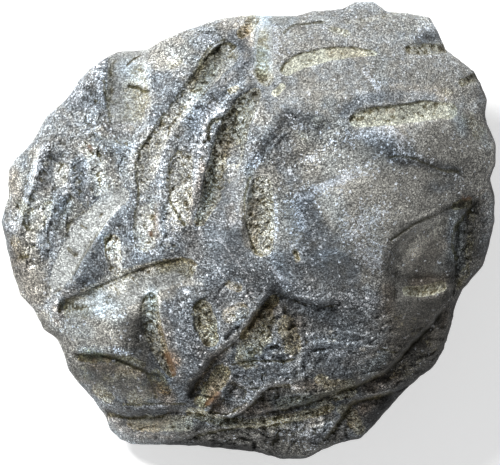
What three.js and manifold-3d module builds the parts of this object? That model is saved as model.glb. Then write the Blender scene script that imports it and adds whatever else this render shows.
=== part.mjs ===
// A domed lump of fossil sponge (a stromatopore) in limestone, bored by long oval worm burrows.
// It is one piece of stone that lies on a flat underside. Millimetres, +Z up.
// The stone is drawn in plan on squared paper, seen from above: u counts squares to the right and
// v counts squares towards the front, from the back left corner of the sheet.
import * as THREE from 'three';
import { mergeVertices } from 'three/addons/utils/BufferGeometryUtils.js';
import { ImprovedNoise } from 'three/addons/math/ImprovedNoise.js';
import Module from 'manifold-3d';

const wasm = await Module();
wasm.setup();

// ---- Driving dimensions ----
const LENGTH = 177;             // left to right, the longest way
const HEIGHT = 84;              // top of the dome above the flat underside
const PLAN_LENGTH = 492;        // squares of the plan drawing that LENGTH covers
const PLAN_MIDDLE = [249, 230.5];
const SQUARE = LENGTH / PLAN_LENGTH;
const SUMMIT = [30, 20];        // the dome's highest place, from the middle of the plan
const FALL = { left: 0.0031, right: 0.0085, back: 0.0062, front: 0.0052 }; // dome's curvature, 1/mm
const RIM_ROUND = 6;            // rounding where the top turns over into the side
const SIDE_LEAN = 0.17;         // how far the side leans in by the underside, as a share of the radius
const FOOT_ROUND = 3;           // rounding between the side and the underside
const LAMINA = 8.5;             // thickness of the growth layers that show on the side
const LAMINA_STEP = 1.0;        // how far one layer stands out past the next
const SWELL = 1.1;              // height of the broad uneven swells of the top
const SWELL_WIDTH = 24;
const BUMP = 0.45;              // height of the small bumps
const BUMP_WIDTH = 8;
const FACETS = 14;              // subdivisions of the starting ball
const TOP_SHARE = 0.76;         // share of the ball's skin that becomes the top of the stone
const SIDE_SHARE = 0.2;         // share that becomes the side; the rest is the underside
const DRAW_REACH = 5;           // how near a ledge the skin's corners are drawn towards it
const DRAW_POWER = 1.6;         // how strongly
const CUT_HEADROOM = 4;         // how far a boring's cutter stands above the skin of the stone

// ---- Outline, clockwise from the left ----
const OUTLINE = [
  [3, 222], [5, 208], [9, 198], [9, 180], [11, 170], [20, 159], [30, 149], [36, 136], [50, 121],
  [66, 100], [78, 83], [90, 69], [104, 59], [118, 52], [148, 50], [160, 42], [180, 33], [200, 26],
  [222, 19], [248, 16], [295, 17], [311, 12], [343, 10], [353, 3], [373, 2], [386, 12], [408, 14],
  [430, 18], [438, 33], [445, 50], [461, 62], [474, 72], [482, 88], [487, 100], [484, 113],
  [488, 127], [495, 143], [495, 165], [489, 179], [494, 195], [494, 222], [488, 250], [482, 266],
  [462, 289], [456, 302], [450, 325], [443, 349], [433, 366], [418, 377], [400, 391], [390, 405],
  [373, 425], [360, 438], [342, 441], [320, 449], [306, 459], [283, 459], [255, 453], [225, 450],
  [200, 446], [150, 445], [131, 445], [120, 440], [110, 430], [106, 418], [92, 399], [81, 385],
  [69, 370], [65, 354], [58, 339], [44, 329], [34, 309], [22, 296], [15, 277], [8, 250],
];

// ---- Ledges: broken edges of growth layers. The low side is on the left, walking along the path ----
// drop: height of the step. edge: its width. reach: how far the low ground takes to climb back.
const LEDGES = [
  { // the long cliff that runs down from the middle to the front
    path: [[274, 281], [264, 298], [240, 332], [212, 356], [192, 384], [187, 404]],
    drop: 8, edge: 3, reach: 26,
  },
  { // lower edge of the dome
    path: [[356, 306], [346, 297], [312, 300], [285, 291], [272, 283]],
    drop: 4.5, edge: 2, reach: 24,
  },
  { // overhanging layer across the front left
    path: [[188, 408], [162, 378], [134, 363], [104, 352], [70, 348], [58, 338]],
    drop: 7, edge: 2.2, reach: 22,
  },
  { // layer below it
    path: [[222, 414], [186, 405], [148, 407], [130, 410], [112, 405], [98, 394]],
    drop: 5, edge: 3.2, reach: 15,
  },
  { // lobe of a layer at the front
    path: [[304, 384], [288, 384], [272, 388], [247, 410], [216, 419]],
    drop: 5, edge: 2, reach: 16,
  },
  { // the long layer that wraps round the front right
    path: [[452, 303], [424, 338], [394, 368], [350, 388], [300, 403], [248, 413]],
    drop: 6.5, edge: 2.6, reach: 18,
  },
  { // flat facet of the front right corner
    path: [[392, 392], [352, 400], [332, 430], [320, 446]],
    drop: 5, edge: 3, reach: 30,
  },
  { // lowest layers of the front
    path: [[320, 418], [275, 420], [226, 426], [180, 437], [160, 440]],
    drop: 3, edge: 2, reach: 12,
  },
  { // step that curves round the back left of the dome
    path: [[356, 118], [318, 112], [286, 113], [268, 140], [252, 170]],
    drop: 4, edge: 3.6, reach: 24,
  },
  { // short step behind the dome on the right
    path: [[458, 173], [420, 165], [384, 162]],
    drop: 3.2, edge: 2.6, reach: 26,
  },
  { // wall that cuts off the far left edge
    path: [[18, 240], [26, 205], [37, 170], [56, 138]],
    drop: 3, edge: 2, reach: 30,
  },
  { // right shoulder of the dome, walked the other way, with a scoop beyond it
    path: [[452, 204], [412, 223], [384, 260], [384, 314]],
    drop: 4.5, edge: 5, reach: 50,
  },
  { // edge of the scoop
    path: [[482, 190], [457, 225], [458, 280], [452, 312]],
    drop: 3.5, edge: 4, reach: 14,
  },
];
const LEDGE_FADE = 6;           // length over which a ledge dies out at each end

// ---- Swells and hollows: place, half sizes, turn in degrees, height ----
const SWELLS = {
  dome: { at: [345, 205], size: [70, 60], turn: 0, height: 2 },
  frontLeftBulge: { at: [98, 332], size: [28, 15], turn: -10, height: 2.8 },
  bulgeFlank: { at: [133, 342], size: [12, 22], turn: -15, height: -1.6 },
  tongue: { at: [183, 330], size: [14, 36], turn: 12, height: 1.8 },
  backLeftRidge: { at: [170, 92], size: [9, 48], turn: -33, height: 1.6 },
  middleRidgeBack: { at: [232, 78], size: [10, 22], turn: -40, height: 1.8 },
  middleRidge: { at: [200, 128], size: [9, 30], turn: -25, height: 2.2 },
  middleRidgeFront: { at: [236, 200], size: [9, 40], turn: -5, height: 1 },
  roughHollow: { at: [268, 330], size: [30, 25], turn: 0, height: -2 },
  rightScoop: { at: [418, 295], size: [24, 45], turn: -10, height: -2 },
  backRightNotch: { at: [427, 39], size: [13, 7], turn: -15, height: -2.6 },
  domeFoot: { at: [310, 255], size: [25, 14], turn: -20, height: -1 },
  frontSwell: { at: [345, 345], size: [45, 22], turn: 5, height: 1.5 },
  lowerLeft: { at: [120, 385], size: [40, 14], turn: -15, height: 1 },
  leftRib: { at: [58, 210], size: [9, 30], turn: -22, height: 1 },
  leftFurrow: { at: [47, 240], size: [9, 24], turn: -22, height: -1.6 },
  leftRidge: { at: [90, 262], size: [10, 24], turn: -30, height: 2 },
  farLeftHollow: { at: [30, 250], size: [14, 14], turn: 0, height: -1.6 },
  farLeftSwell: { at: [30, 285], size: [20, 25], turn: 0, height: 1 },
};

// ---- Borings: each point is u, v, half width in squares, depth in mm ----
// left, right: how steep the wall on that side is, walking along the path (2 is a bowl, 7 a cliff).
const BORINGS = {
  backLong: {
    path: [[288, 73, 6.5, 2], [300, 66, 8, 2.8], [335, 56, 6.5, 2.4], [371, 55, 2.5, 1]],
    left: 6, right: 2.5,
  },
  rightLong: {
    path: [[358, 120, 7, 2.6], [372, 118, 10.5, 3.4], [420, 113, 11, 2.4], [447, 112, 9, 1]],
    left: 6, right: 3,
  },
  backNotch: {
    path: [[409, 50, 4, 2.2], [422, 50, 5, 2.8], [448, 47, 6, 3]],
    left: 5, right: 3,
  },
  rightNotch: {
    path: [[462, 82, 3.5, 2.2], [484, 74, 5, 3]],
    left: 4, right: 3,
  },
  backGroove: {
    path: [[261, 6, 9, 2], [261, 40, 10, 2.4], [263, 58, 12, 3.2], [265, 74, 11.5, 3.2]],
    left: 2.2, right: 3,
  },
  backPocket: {
    path: [[241, 35, 5, 1.8], [249, 27, 7, 2], [256, 10, 8, 2]],
    left: 2, right: 4,
  },
  broadGroove: {
    path: [[135, 40, 22, 4.6], [131, 68, 24, 5], [130, 92, 22, 4.2], [128, 120, 20, 1.5]],
    left: 2.6, right: 7,
  },
  longBoring: {
    path: [
      [223, 55, 13, 4.4], [207, 74, 13.5, 5.2], [189, 97, 12, 4.4], [172, 119, 12, 4],
      [157, 142, 12, 3.8], [149, 165, 12, 3.2], [150, 195, 11.5, 2.6], [149, 220, 12, 2.8],
      [148, 241, 10.5, 2.4],
    ],
    left: 2.2, right: 7,
  },
  spindle: {
    path: [[184, 166, 9, 2.6], [181, 188, 12, 3.4], [181, 207, 11.5, 3], [186, 221, 6, 1.2]],
    left: 2, right: 6,
  },
  deepChannel: {
    path: [
      [252, 95, 7, 2], [238, 112, 14, 6.4], [229, 135, 20, 7.2], [221, 160, 20, 7],
      [213, 185, 17, 6.2], [206, 210, 13, 4.8], [196, 232, 10, 3], [184, 246, 6, 1],
    ],
    left: 1.6, right: 4,
  },
  middleOval: {
    path: [[261, 188, 10, 2.8], [260, 208, 14.5, 4.4], [259, 228, 15.5, 4.6], [259, 246, 11, 3]],
    left: 3, right: 6,
  },
  leftPocket: {
    path: [[62, 148, 8, 2], [54, 160, 10, 2.8], [42, 187, 5, 1]],
    left: 2, right: 5,
  },
  chalkBoring: {
    path: [
      [116, 198, 10, 1], [101, 214, 13, 2], [85, 234, 15, 2.8], [71, 255, 15, 2.8],
      [61, 273, 13, 2], [54, 286, 9, 0.8],
    ],
    left: 5, right: 3,
  },
  shortOval: {
    path: [[113, 244, 9.5, 2.2], [115, 264, 9, 2.4]],
    left: 2.5, right: 5,
  },
  leftLong: {
    path: [
      [185, 269, 9, 2.6], [168, 271, 12, 3.6], [148, 276, 15, 4.2], [126, 286, 17, 4.8],
      [104, 295, 17, 5], [84, 303, 14, 5.2], [70, 308, 11, 4.6],
    ],
    left: 1.6, right: 7,
  },
  frontLeftBoring: {
    path: [
      [151, 304, 10, 2.6], [152, 322, 11, 3.6], [157, 342, 10, 3.6], [167, 362, 8, 3],
      [174, 376, 5, 1.4],
    ],
    left: 5, right: 2,
  },
  frontOval: {
    path: [[203, 309, 10.5, 4.4], [206, 325, 12.5, 4.6], [209, 337, 9, 2.6]],
    left: 3, right: 6,
  },
  frontSaucer: {
    path: [[230, 316, 10, 1.2], [240, 311, 10, 1.2]],
    left: 3, right: 3,
  },
  frontPit: {
    path: [[229, 337, 5, 2], [237, 329, 5, 2]],
    left: 3, right: 3,
  },
  cliffTrough: {
    path: [[224, 376, 9, 2.8], [213, 388, 11, 3.4], [201, 401, 9, 2.6]],
    left: 2, right: 4,
  },
  scoopBoring: {
    path: [[406, 290, 5.5, 1.2], [422, 291, 6.5, 1.6], [440, 286, 6.5, 1.2]],
    left: 4, right: 4,
  },
  rightRecess: {
    path: [[455, 204, 6, 3.4], [472, 197, 7, 3.4]],
    left: 3, right: 3,
  },
};
const SECTION = [-1, -0.85, -0.4, 0.4, 0.85, 1];  // places across a boring's section

const noise = new ImprovedNoise();

/** Place on the plan drawing, in mm from the middle of the stone. */
function onPlan(u, v) {
  return new THREE.Vector2((u - PLAN_MIDDLE[0]) * SQUARE, (PLAN_MIDDLE[1] - v) * SQUARE);
}

/** Smooth line through points of the plan drawing. */
function smoothLine(path, steps) {
  const points = path.map(([u, v]) => onPlan(u, v));
  const curve = new THREE.SplineCurve(points);
  return curve.getPoints(steps * (points.length - 1));
}

/** Nearest place on a line: distance, side (+1 left, -1 right), the way there and the length walked. */
function nearestOn(line, point) {
  const nearest = { distance: Infinity, side: 1, away: new THREE.Vector2(), walked: 0, length: 0 };
  for (let i = 0; i + 1 < line.length; i += 1) {
    const along = line[i + 1].clone().sub(line[i]);
    const span = along.length();
    const offset = point.clone().sub(line[i]);
    const share = THREE.MathUtils.clamp(offset.dot(along) / (span * span), 0, 1);
    const away = offset.clone().addScaledVector(along, -share);
    if (away.length() < nearest.distance) {
      nearest.distance = away.length();
      nearest.away = away.normalize();
      nearest.side = Math.sign(along.cross(offset)) || 1;
      nearest.walked = nearest.length + share * span;
    }
    nearest.length += span;
  }
  return nearest;
}

const outline = OUTLINE.map(([u, v]) => onPlan(u, v));

/** Distance from the middle of the plan to the outline, in one direction. */
function radiusAt(angle) {
  const ray = new THREE.Vector2(Math.cos(angle), Math.sin(angle));
  let radius = 0;
  for (let i = 0; i < outline.length; i += 1) {
    const from = outline[i];
    const edge = outline[(i + 1) % outline.length].clone().sub(from);
    const turn = ray.cross(edge);
    const reach = from.cross(edge) / turn;
    const share = from.cross(ray) / turn;
    if (reach > 0 && share >= 0 && share <= 1) {
      radius = Math.max(radius, reach);
    }
  }
  return radius;
}

/** The plain dome, before it is broken and bored. */
function domeHeight(point) {
  const dx = point.x - SUMMIT[0];
  const dy = point.y - SUMMIT[1];
  const across = (dx < 0 ? FALL.left : FALL.right) * dx * dx;
  const along = (dy < 0 ? FALL.front : FALL.back) * dy * dy;
  return HEIGHT - SWELL - across - along;
}

/** Height that the swells and hollows add at a place. */
function swellHeight(point) {
  let height = 0;
  for (const { at, size, turn, height: rise } of Object.values(SWELLS)) {
    const offset = point.clone().sub(onPlan(at[0], at[1]));
    offset.rotateAround(new THREE.Vector2(), -THREE.MathUtils.degToRad(turn));
    const a = offset.x / (size[0] * SQUARE);
    const b = offset.y / (size[1] * SQUARE);
    height += rise * Math.exp(-a * a - b * b);
  }
  return height;
}

for (const ledge of LEDGES) {
  ledge.line = smoothLine(ledge.path, 4);
}

/** How strong a ledge is at a place on its line: 0 at its ends and 1 between them. */
function ledgeStrength(near) {
  const fromStart = THREE.MathUtils.smoothstep(near.walked, 0, LEDGE_FADE);
  const fromEnd = THREE.MathUtils.smoothstep(near.length - near.walked, 0, LEDGE_FADE);
  return fromStart * fromEnd;
}

/** Height that the ledges take away at a place. */
function ledgeDrop(point) {
  let drop = 0;
  for (const ledge of LEDGES) {
    const near = nearestOn(ledge.line, point);
    if (near.side > 0) {
      const step = THREE.MathUtils.smoothstep(near.distance, 0, ledge.edge);
      const beyond = Math.max(near.distance - ledge.edge, 0);
      drop += ledge.drop * ledgeStrength(near) * step * Math.exp(-beyond / ledge.reach);
    }
  }
  return drop;
}

/** Height of the stone's skin before it is bored. */
function skinHeight(point) {
  const { x, y } = point;
  const broad = noise.noise(x / SWELL_WIDTH, y / SWELL_WIDTH, 0.5) * SWELL;
  const small = noise.noise(x / BUMP_WIDTH, y / BUMP_WIDTH, 7.5) * BUMP;
  const reach = point.length() / radiusAt(Math.atan2(y, x));
  const toRim = Math.max(1 - reach, 0) * point.length();
  const lean = THREE.MathUtils.clamp(1 - toRim / RIM_ROUND, 0, 1);
  const turnover = RIM_ROUND * (1 - Math.sqrt(1 - lean * lean));
  return domeHeight(point) + swellHeight(point) - ledgeDrop(point) + broad + small - turnover;
}

/** Draws a place on the top towards the ledges close by, so that more corners share their steep faces. */
function drawToLedges(point, amount) {
  for (const ledge of LEDGES) {
    const near = nearestOn(ledge.line, point);
    const signed = near.side * near.distance - ledge.edge / 2;
    const share = Math.abs(signed) / DRAW_REACH;
    if (share < 1) {
      const drawn = Math.sign(signed) * DRAW_REACH * Math.pow(share, DRAW_POWER);
      const shift = (drawn - signed) * near.side * ledgeStrength(near) * amount;
      point.addScaledVector(near.away, shift);
    }
  }
}

/** Place on the side of the stone, from the rim (0) to the foot (1). */
function sidePoint(angle, down) {
  const radius = radiusAt(angle);
  const rim = new THREE.Vector2(Math.cos(angle), Math.sin(angle)).multiplyScalar(radius);
  const rimHeight = skinHeight(rim);
  const z = rimHeight * (1 - down);
  const wander = noise.noise(rim.x / 30, rim.y / 30, 3.5);
  const layer = (z / LAMINA + wander) % 1;
  const inside = Math.sin(Math.PI * Math.min(down, 0.999));
  const laminae = LAMINA_STEP * Math.abs(layer) * inside;
  const hollows = 3 * Math.abs(noise.noise(rim.x / 18, rim.y / 18, z / 12)) * inside;
  const foot = FOOT_ROUND * THREE.MathUtils.smoothstep(down, 0.75, 1);
  const inset = SIDE_LEAN * radius * Math.pow(down, 1.5) + laminae + hollows + foot;
  rim.setLength(radius - inset);
  return new THREE.Vector3(rim.x, rim.y, z);
}

/** Turns a closed geometry into a manifold-3d solid. */
function toSolid(geometry) {
  geometry.deleteAttribute('normal');
  geometry.deleteAttribute('uv');
  const merged = mergeVertices(geometry);
  return new wasm.Manifold(new wasm.Mesh({
    numProp: 3,
    vertProperties: new Float32Array(merged.attributes.position.array),
    triVerts: new Uint32Array(merged.index.array),
  }));
}

/** Turns a manifold-3d solid back into a geometry with flat faces. */
function toGeometry(solid) {
  const mesh = solid.getMesh();
  const geometry = new THREE.BufferGeometry();
  geometry.setAttribute('position', new THREE.BufferAttribute(mesh.vertProperties, mesh.numProp));
  geometry.setIndex(new THREE.BufferAttribute(mesh.triVerts, 1));
  geometry.computeVertexNormals();
  return geometry;
}

/** The stone before it is bored: a ball whose skin is laid over the top, the side and the underside. */
function makeStone() {
  const geometry = new THREE.IcosahedronGeometry(1, FACETS);
  const ball = geometry.attributes.position;
  for (let i = 0; i < ball.count; i += 1) {
    const angle = Math.atan2(ball.getY(i), ball.getX(i));
    const share = (1 - ball.getZ(i)) / 2;
    if (share <= TOP_SHARE) {
      const reach = Math.sqrt(share / TOP_SHARE) * radiusAt(angle);
      const point = new THREE.Vector2(reach * Math.cos(angle), reach * Math.sin(angle));
      drawToLedges(point, THREE.MathUtils.smoothstep(1 - share / TOP_SHARE, 0, 0.12));
      ball.setXYZ(i, point.x, point.y, skinHeight(point));
    } else if (share < TOP_SHARE + SIDE_SHARE) {
      const place = sidePoint(angle, (share - TOP_SHARE) / SIDE_SHARE);
      ball.setXYZ(i, place.x, place.y, place.z);
    } else {
      const foot = sidePoint(angle, 1);
      const inward = Math.sqrt((1 - share) / (1 - TOP_SHARE - SIDE_SHARE));
      ball.setXYZ(i, foot.x * inward, foot.y * inward, 0);
    }
  }
  return toSolid(geometry);
}

/** Depth of a boring's floor at a place across it, as a share of its full depth. */
function floorShare(across, boring) {
  const steepness = across < 0 ? boring.left : boring.right;
  return 1 - Math.pow(Math.abs(across), steepness);
}

/** The solid that one boring takes out of the stone: a boat with a flat-topped section. */
function makeBoring(boring) {
  const steps = 2;
  const line = smoothLine(boring.path, steps);
  const stations = [];
  const sizes = line.map((_, i) => {
    const place = Math.min(i / steps, boring.path.length - 1);
    const from = boring.path[Math.floor(place)];
    const to = boring.path[Math.ceil(place)];
    const share = place - Math.floor(place);
    return [2, 3].map((k) => THREE.MathUtils.lerp(from[k], to[k], share));
  });
  const last = line.length - 1;
  const endTurns = [-80, -45];
  for (const degrees of endTurns) {
    stations.push({ i: 0, degrees });
  }
  line.forEach((_, i) => stations.push({ i, degrees: 0 }));
  for (const degrees of endTurns.toReversed()) {
    stations.push({ i: last, degrees: -degrees });
  }
  const rings = stations.map(({ i, degrees }) => {
    const before = line[Math.max(i - 1, 0)];
    const after = line[Math.min(i + 1, last)];
    const along = after.clone().sub(before).normalize();
    const toRight = new THREE.Vector2(along.y, -along.x);
    const halfWidth = sizes[i][0] * SQUARE;
    const turn = THREE.MathUtils.degToRad(degrees);
    const middle = line[i].clone().addScaledVector(along, Math.sin(turn) * halfWidth);
    const narrow = Math.cos(turn);
    const beyond = Math.abs(Math.sin(turn));
    const ring = [];
    for (const across of SECTION) {
      const point = middle.clone().addScaledVector(toRight, across * halfWidth * narrow);
      const spread = Math.min(Math.hypot(across * narrow, beyond), 1) * (Math.sign(across) || 1);
      const depth = sizes[i][1] * floorShare(spread, boring);
      ring.push(new THREE.Vector3(point.x, point.y, skinHeight(point) - depth));
    }
    for (const { x, y } of [ring[SECTION.length - 1], ring[0]]) {
      const skin = skinHeight(new THREE.Vector2(x, y));
      ring.push(new THREE.Vector3(x, y, skin + CUT_HEADROOM));
    }
    return ring;
  });
  return toSolid(skinRings(rings));
}

/** Closed skin over a row of rings that have the same number of points. */
function skinRings(rings) {
  const size = rings[0].length;
  const geometry = new THREE.BufferGeometry().setFromPoints(rings.flat());
  const faces = [];
  for (let r = 0; r + 1 < rings.length; r += 1) {
    for (let k = 0; k < size; k += 1) {
      const a = r * size + k;
      const b = r * size + ((k + 1) % size);
      faces.push(a, b + size, b, a, a + size, b + size);
    }
  }
  const cap = THREE.ShapeUtils.triangulateShape(flattenRing(rings[0]), []);
  const end = (rings.length - 1) * size;
  for (const [a, b, c] of cap) {
    faces.push(a, b, c, end + c, end + b, end + a);
  }
  geometry.setIndex(faces);
  return geometry;
}

/** A ring drawn flat: places across the section against height. */
function flattenRing(ring) {
  return ring.map((_, k) => {
    const top = k >= SECTION.length;
    const across = top ? [1, -1][k - SECTION.length] : SECTION[k];
    return new THREE.Vector2(across, top ? 1 : -1 + 0.5 * across * across);
  });
}

const stone = Object.values(BORINGS).reduce(
  (solid, boring) => solid.subtract(makeBoring(boring)),
  makeStone(),
);

const limestone = new THREE.MeshStandardMaterial({ color: 0x87898a, roughness: 0.85, metalness: 0 });
const fossil = new THREE.Mesh(toGeometry(stone), limestone);
fossil.name = 'bored_stromatopore';

const part = new THREE.Group();
part.add(fossil);

export default part;
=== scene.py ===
# %% [markdown]
# # A bored stromatopore fossil
# A stromatopore is a sponge that grew as a domed, layered lump of limestone. Worms bored long oval
# holes into this one, and pale sediment filled them. The whole thing is a single piece of stone, so
# the scene has one piece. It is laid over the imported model, which is the frame: every size here is
# in metres and comes from that frame or from the stone's plan drawing.

# %% The frame
import math

import bpy
import numpy as np
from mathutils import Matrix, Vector


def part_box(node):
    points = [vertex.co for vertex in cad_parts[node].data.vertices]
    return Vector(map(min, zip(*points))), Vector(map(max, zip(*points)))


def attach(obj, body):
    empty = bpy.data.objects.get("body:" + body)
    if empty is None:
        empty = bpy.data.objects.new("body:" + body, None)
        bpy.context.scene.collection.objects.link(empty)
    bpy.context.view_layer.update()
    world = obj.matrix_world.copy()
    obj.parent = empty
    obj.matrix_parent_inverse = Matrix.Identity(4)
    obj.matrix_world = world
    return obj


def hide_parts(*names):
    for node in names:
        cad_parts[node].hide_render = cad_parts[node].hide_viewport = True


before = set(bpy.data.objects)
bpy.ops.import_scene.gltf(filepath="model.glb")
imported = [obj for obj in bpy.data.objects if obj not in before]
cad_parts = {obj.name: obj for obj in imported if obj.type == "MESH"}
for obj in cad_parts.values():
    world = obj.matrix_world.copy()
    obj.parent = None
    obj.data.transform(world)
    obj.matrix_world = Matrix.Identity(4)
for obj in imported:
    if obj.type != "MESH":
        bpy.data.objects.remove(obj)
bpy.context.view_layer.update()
STONE_NODE = "bored_stromatopore"
low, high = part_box(STONE_NODE)
stone_size = high - low
print("stone, mm:", [round(1000 * side, 1) for side in stone_size])

# %% [markdown]
# ## Camera
# The stone lies on its flat underside and is looked at from straight above, so the camera hangs
# over its middle. A long lens far away keeps the sides from leaning into view.

# %% Camera
CAMERA_HEIGHT = 4.0
SENSOR = 36.0
VIEW_WIDTH = 0.18                # width of the picture at the stone's rim
RIM_LEVEL = 0.035
CAMERA_PLACE = (0.00036, -0.00072)      # over the middle of the plan drawing

camera_data = bpy.data.cameras.new("camera")
camera_data.sensor_width = SENSOR
camera_data.lens = SENSOR * (CAMERA_HEIGHT - RIM_LEVEL) / VIEW_WIDTH
camera = bpy.data.objects.new("camera", camera_data)
camera.location = (*CAMERA_PLACE, CAMERA_HEIGHT)
bpy.context.scene.collection.objects.link(camera)
bpy.context.scene.camera = camera
print("lens, mm:", round(camera_data.lens, 1))

# %% [markdown]
# ## Floor and light
# The floor is plain and pale. Relief only shows when the light comes in at a slant, so one soft
# window-like lamp stands at the back left, and the pale world fills the shadows.

# %% Floor and light
FLOOR_SIZE = 6.0
FLOOR_DROP = 0.0002
FLOOR_GREY = (0.74, 0.74, 0.74, 1)
FLOOR_ROUGHNESS = 0.9
FLOOR_GLOW = 0.5                 # a light table: it keeps the shadow beside the stone pale
KEY_DIRECTION = Vector((-0.62, 0.72, 0.95))
KEY_DISTANCE = 1.6
KEY_SIZE = 0.4
KEY_POWER = 34.6
SKY_STRENGTH = 0.33
SKY_TINT = (0.97, 0.985, 1.0, 1)


def select_nothing():
    bpy.ops.object.select_all(action="DESELECT")
    bpy.context.view_layer.objects.active = None


select_nothing()
bpy.ops.mesh.primitive_plane_add(size=FLOOR_SIZE, location=(0, 0, -FLOOR_DROP))
floor = bpy.context.object
floor.name = "floor"
bpy.ops.object.transform_apply(location=True, rotation=True, scale=True)
floor_paint = bpy.data.materials.new("floor_paint")
floor_paint.use_nodes = True
floor_surface = floor_paint.node_tree.nodes["Principled BSDF"]
floor_surface.inputs["Base Color"].default_value = FLOOR_GREY
floor_surface.inputs["Roughness"].default_value = FLOOR_ROUGHNESS
floor_surface.inputs["Emission Color"].default_value = (1, 1, 1, 1)
floor_surface.inputs["Emission Strength"].default_value = FLOOR_GLOW
floor.data.materials.append(floor_paint)

key_data = bpy.data.lights.new("key", "AREA")
key_data.shape = "DISK"
key_data.size = KEY_SIZE
key_data.energy = KEY_POWER
key = bpy.data.objects.new("key", key_data)
key.location = KEY_DIRECTION.normalized() * KEY_DISTANCE
key.rotation_euler = KEY_DIRECTION.to_track_quat("Z", "Y").to_euler()
bpy.context.scene.collection.objects.link(key)

world = bpy.data.worlds.new("sky")
world.use_nodes = True
sky = world.node_tree.nodes["Background"]
sky.inputs["Color"].default_value = SKY_TINT
sky.inputs["Strength"].default_value = SKY_STRENGTH
bpy.context.scene.world = world
bpy.context.scene.view_settings.view_transform = "Standard"
print("key lamp at", [round(place, 2) for place in key.location])

# %% [markdown]
# ## The plan drawing
# Every ledge, boring and stain is drawn in plan, on squared paper: u counts squares to the right
# and v counts squares towards the front. A feature is a line of a few points, made smooth by a
# spline, and what it does to the stone depends on how far a place is from that line. This is how a
# sculptor works too: long strokes of a round, flat or sharp tool.

# %% Plan drawing
PLAN_LENGTH = 492                # squares from the left end of the stone to the right end
PLAN_MIDDLE = (249, 230.5)
LENGTH = 0.177
SQUARE = LENGTH / PLAN_LENGTH
MM = 0.001


def on_plan(squares):
    """A path's points, in metres from the middle of the stone. A path is one row: u, v, u, v ..."""
    return (np.reshape(squares, (-1, 2)) - PLAN_MIDDLE) * (SQUARE, -SQUARE)


def smooth_line(points, steps=3):
    """A Catmull-Rom spline through the points, with so many steps from each to the next."""
    points = np.asarray(points, float)
    before = np.vstack([2 * points[0] - points[1], points[:-2]])
    after = np.vstack([points[2:], 2 * points[-1] - points[-2]])
    line = []
    for p0, p1, p2, p3 in zip(before, points[:-1], points[1:], after):
        for t in np.arange(steps) / steps:
            line.append(
                0.5 * (2 * p1 + (p2 - p0) * t + (2 * p0 - 5 * p1 + 4 * p2 - p3) * t**2
                       + (3 * p1 - p0 - 3 * p2 + p3) * t**3)
            )
    line.append(points[-1])
    return np.array(line)


def smoothstep(amount):
    amount = np.clip(amount, 0, 1)
    return amount * amount * (3 - 2 * amount)


BLEND = 0.7 * MM                 # two spans of a line share a place that is so nearly as far from both,
BLEND_FAN = 0.25                 # and this much more for each metre away from the line


def nearest_on(line, places):
    """For each place: distance to the line, side (+1 left, -1 right), walk to there, and its length."""
    spans = np.linalg.norm(np.diff(line, axis=0), axis=1)
    starts = np.concatenate([[0], np.cumsum(spans)])
    distance = np.full(len(places), np.inf)
    side = np.ones(len(places))
    reaches = []
    walks = []
    for start, end, span, before in zip(line[:-1], line[1:], spans, starts):
        along = (end - start) / span
        offset = places - start
        share = np.clip(offset @ along, 0, span)
        gap = offset - share[:, None] * along
        reach = np.hypot(gap[:, 0], gap[:, 1])
        turn = along[0] * offset[:, 1] - along[1] * offset[:, 0]
        side = np.where(reach < distance, np.where(turn < 0, -1, 1), side)
        distance = np.minimum(distance, reach)
        reaches.append(reach)
        walks.append(before + share)
    blend = BLEND + BLEND_FAN * distance
    weights = [np.exp((distance - reach) / blend) for reach in reaches]
    walked = sum(weight * walk for weight, walk in zip(weights, walks)) / sum(weights)
    return distance, side, walked, starts[-1]


def boxed(line, places, margin):
    """Which places lie in the line's box widened by the margin."""
    return ((places > line.min(axis=0) - margin) & (places < line.max(axis=0) + margin)).all(axis=1)


print("one square of the plan is", round(SQUARE / MM, 3), "mm")

# %% [markdown]
# ## Noise for uneven rock
# Broken rock is uneven at every scale. Gradient noise gives a smooth random height at one scale, and
# adding finer and weaker copies of it gives the whole range. Folding it at zero makes sharp crests,
# which look like broken edges. The random numbers come from a fixed formula of the place, so the
# stone comes out the same every time.

# %% Noise
HASH_PRIMES = (73856093, 19349663, 83492791, 2654435761)
HASH_FACTOR = 1274126177
NOISE_GAIN = 1.5                 # brings the noise to about -1 to 1
OCTAVE_STEP = 2.03               # each layer of the noise is this much finer than the last
OCTAVE_SHIFT = 11.7              # and starts elsewhere, so that the layers never line up


def scramble(cells, seed):
    """A repeatable random whole number for each cell of a grid."""
    cells = cells.astype(np.int64)
    mixed = seed * HASH_PRIMES[3]
    for axis in range(3):
        mixed = mixed ^ (cells[:, axis] * HASH_PRIMES[axis])
    mixed = (mixed ^ (mixed >> 13)) * HASH_FACTOR & 0x7FFFFFFF
    return mixed ^ (mixed >> 11)


def gradient_noise(places, seed):
    """Smooth noise of about -1 to 1 that changes over a distance of 1."""
    cells = np.floor(places)
    inside = places - cells
    fade = inside**3 * (inside * (inside * 6 - 15) + 10)
    total = np.zeros(len(places))
    for corner in np.ndindex(2, 2, 2):
        corner = np.array(corner)
        bits = scramble(cells + corner, seed)
        slopes = np.stack([(bits >> shift & 255) / 127.5 - 1 for shift in (0, 8, 16)], axis=1)
        weight = np.where(corner == 1, fade, 1 - fade).prod(axis=1)
        total += weight * ((inside - corner) * slopes).sum(axis=1)
    return total * NOISE_GAIN


def rock_noise(places, size, seed, octaves=3, fading=0.5, folded=False):
    """Noise summed over several scales; size is the largest, in metres. Folded noise has sharp crests."""
    total = np.zeros(len(places))
    strength = 1.0
    strengths = 0.0
    for octave in range(octaves):
        finer = places * (OCTAVE_STEP**octave / size) + OCTAVE_SHIFT * octave
        layer = gradient_noise(finer, seed + octave)
        total += strength * (1 - 2 * np.abs(layer) if folded else layer)
        strengths += strength
        strength *= fading
    return total / strengths


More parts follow.
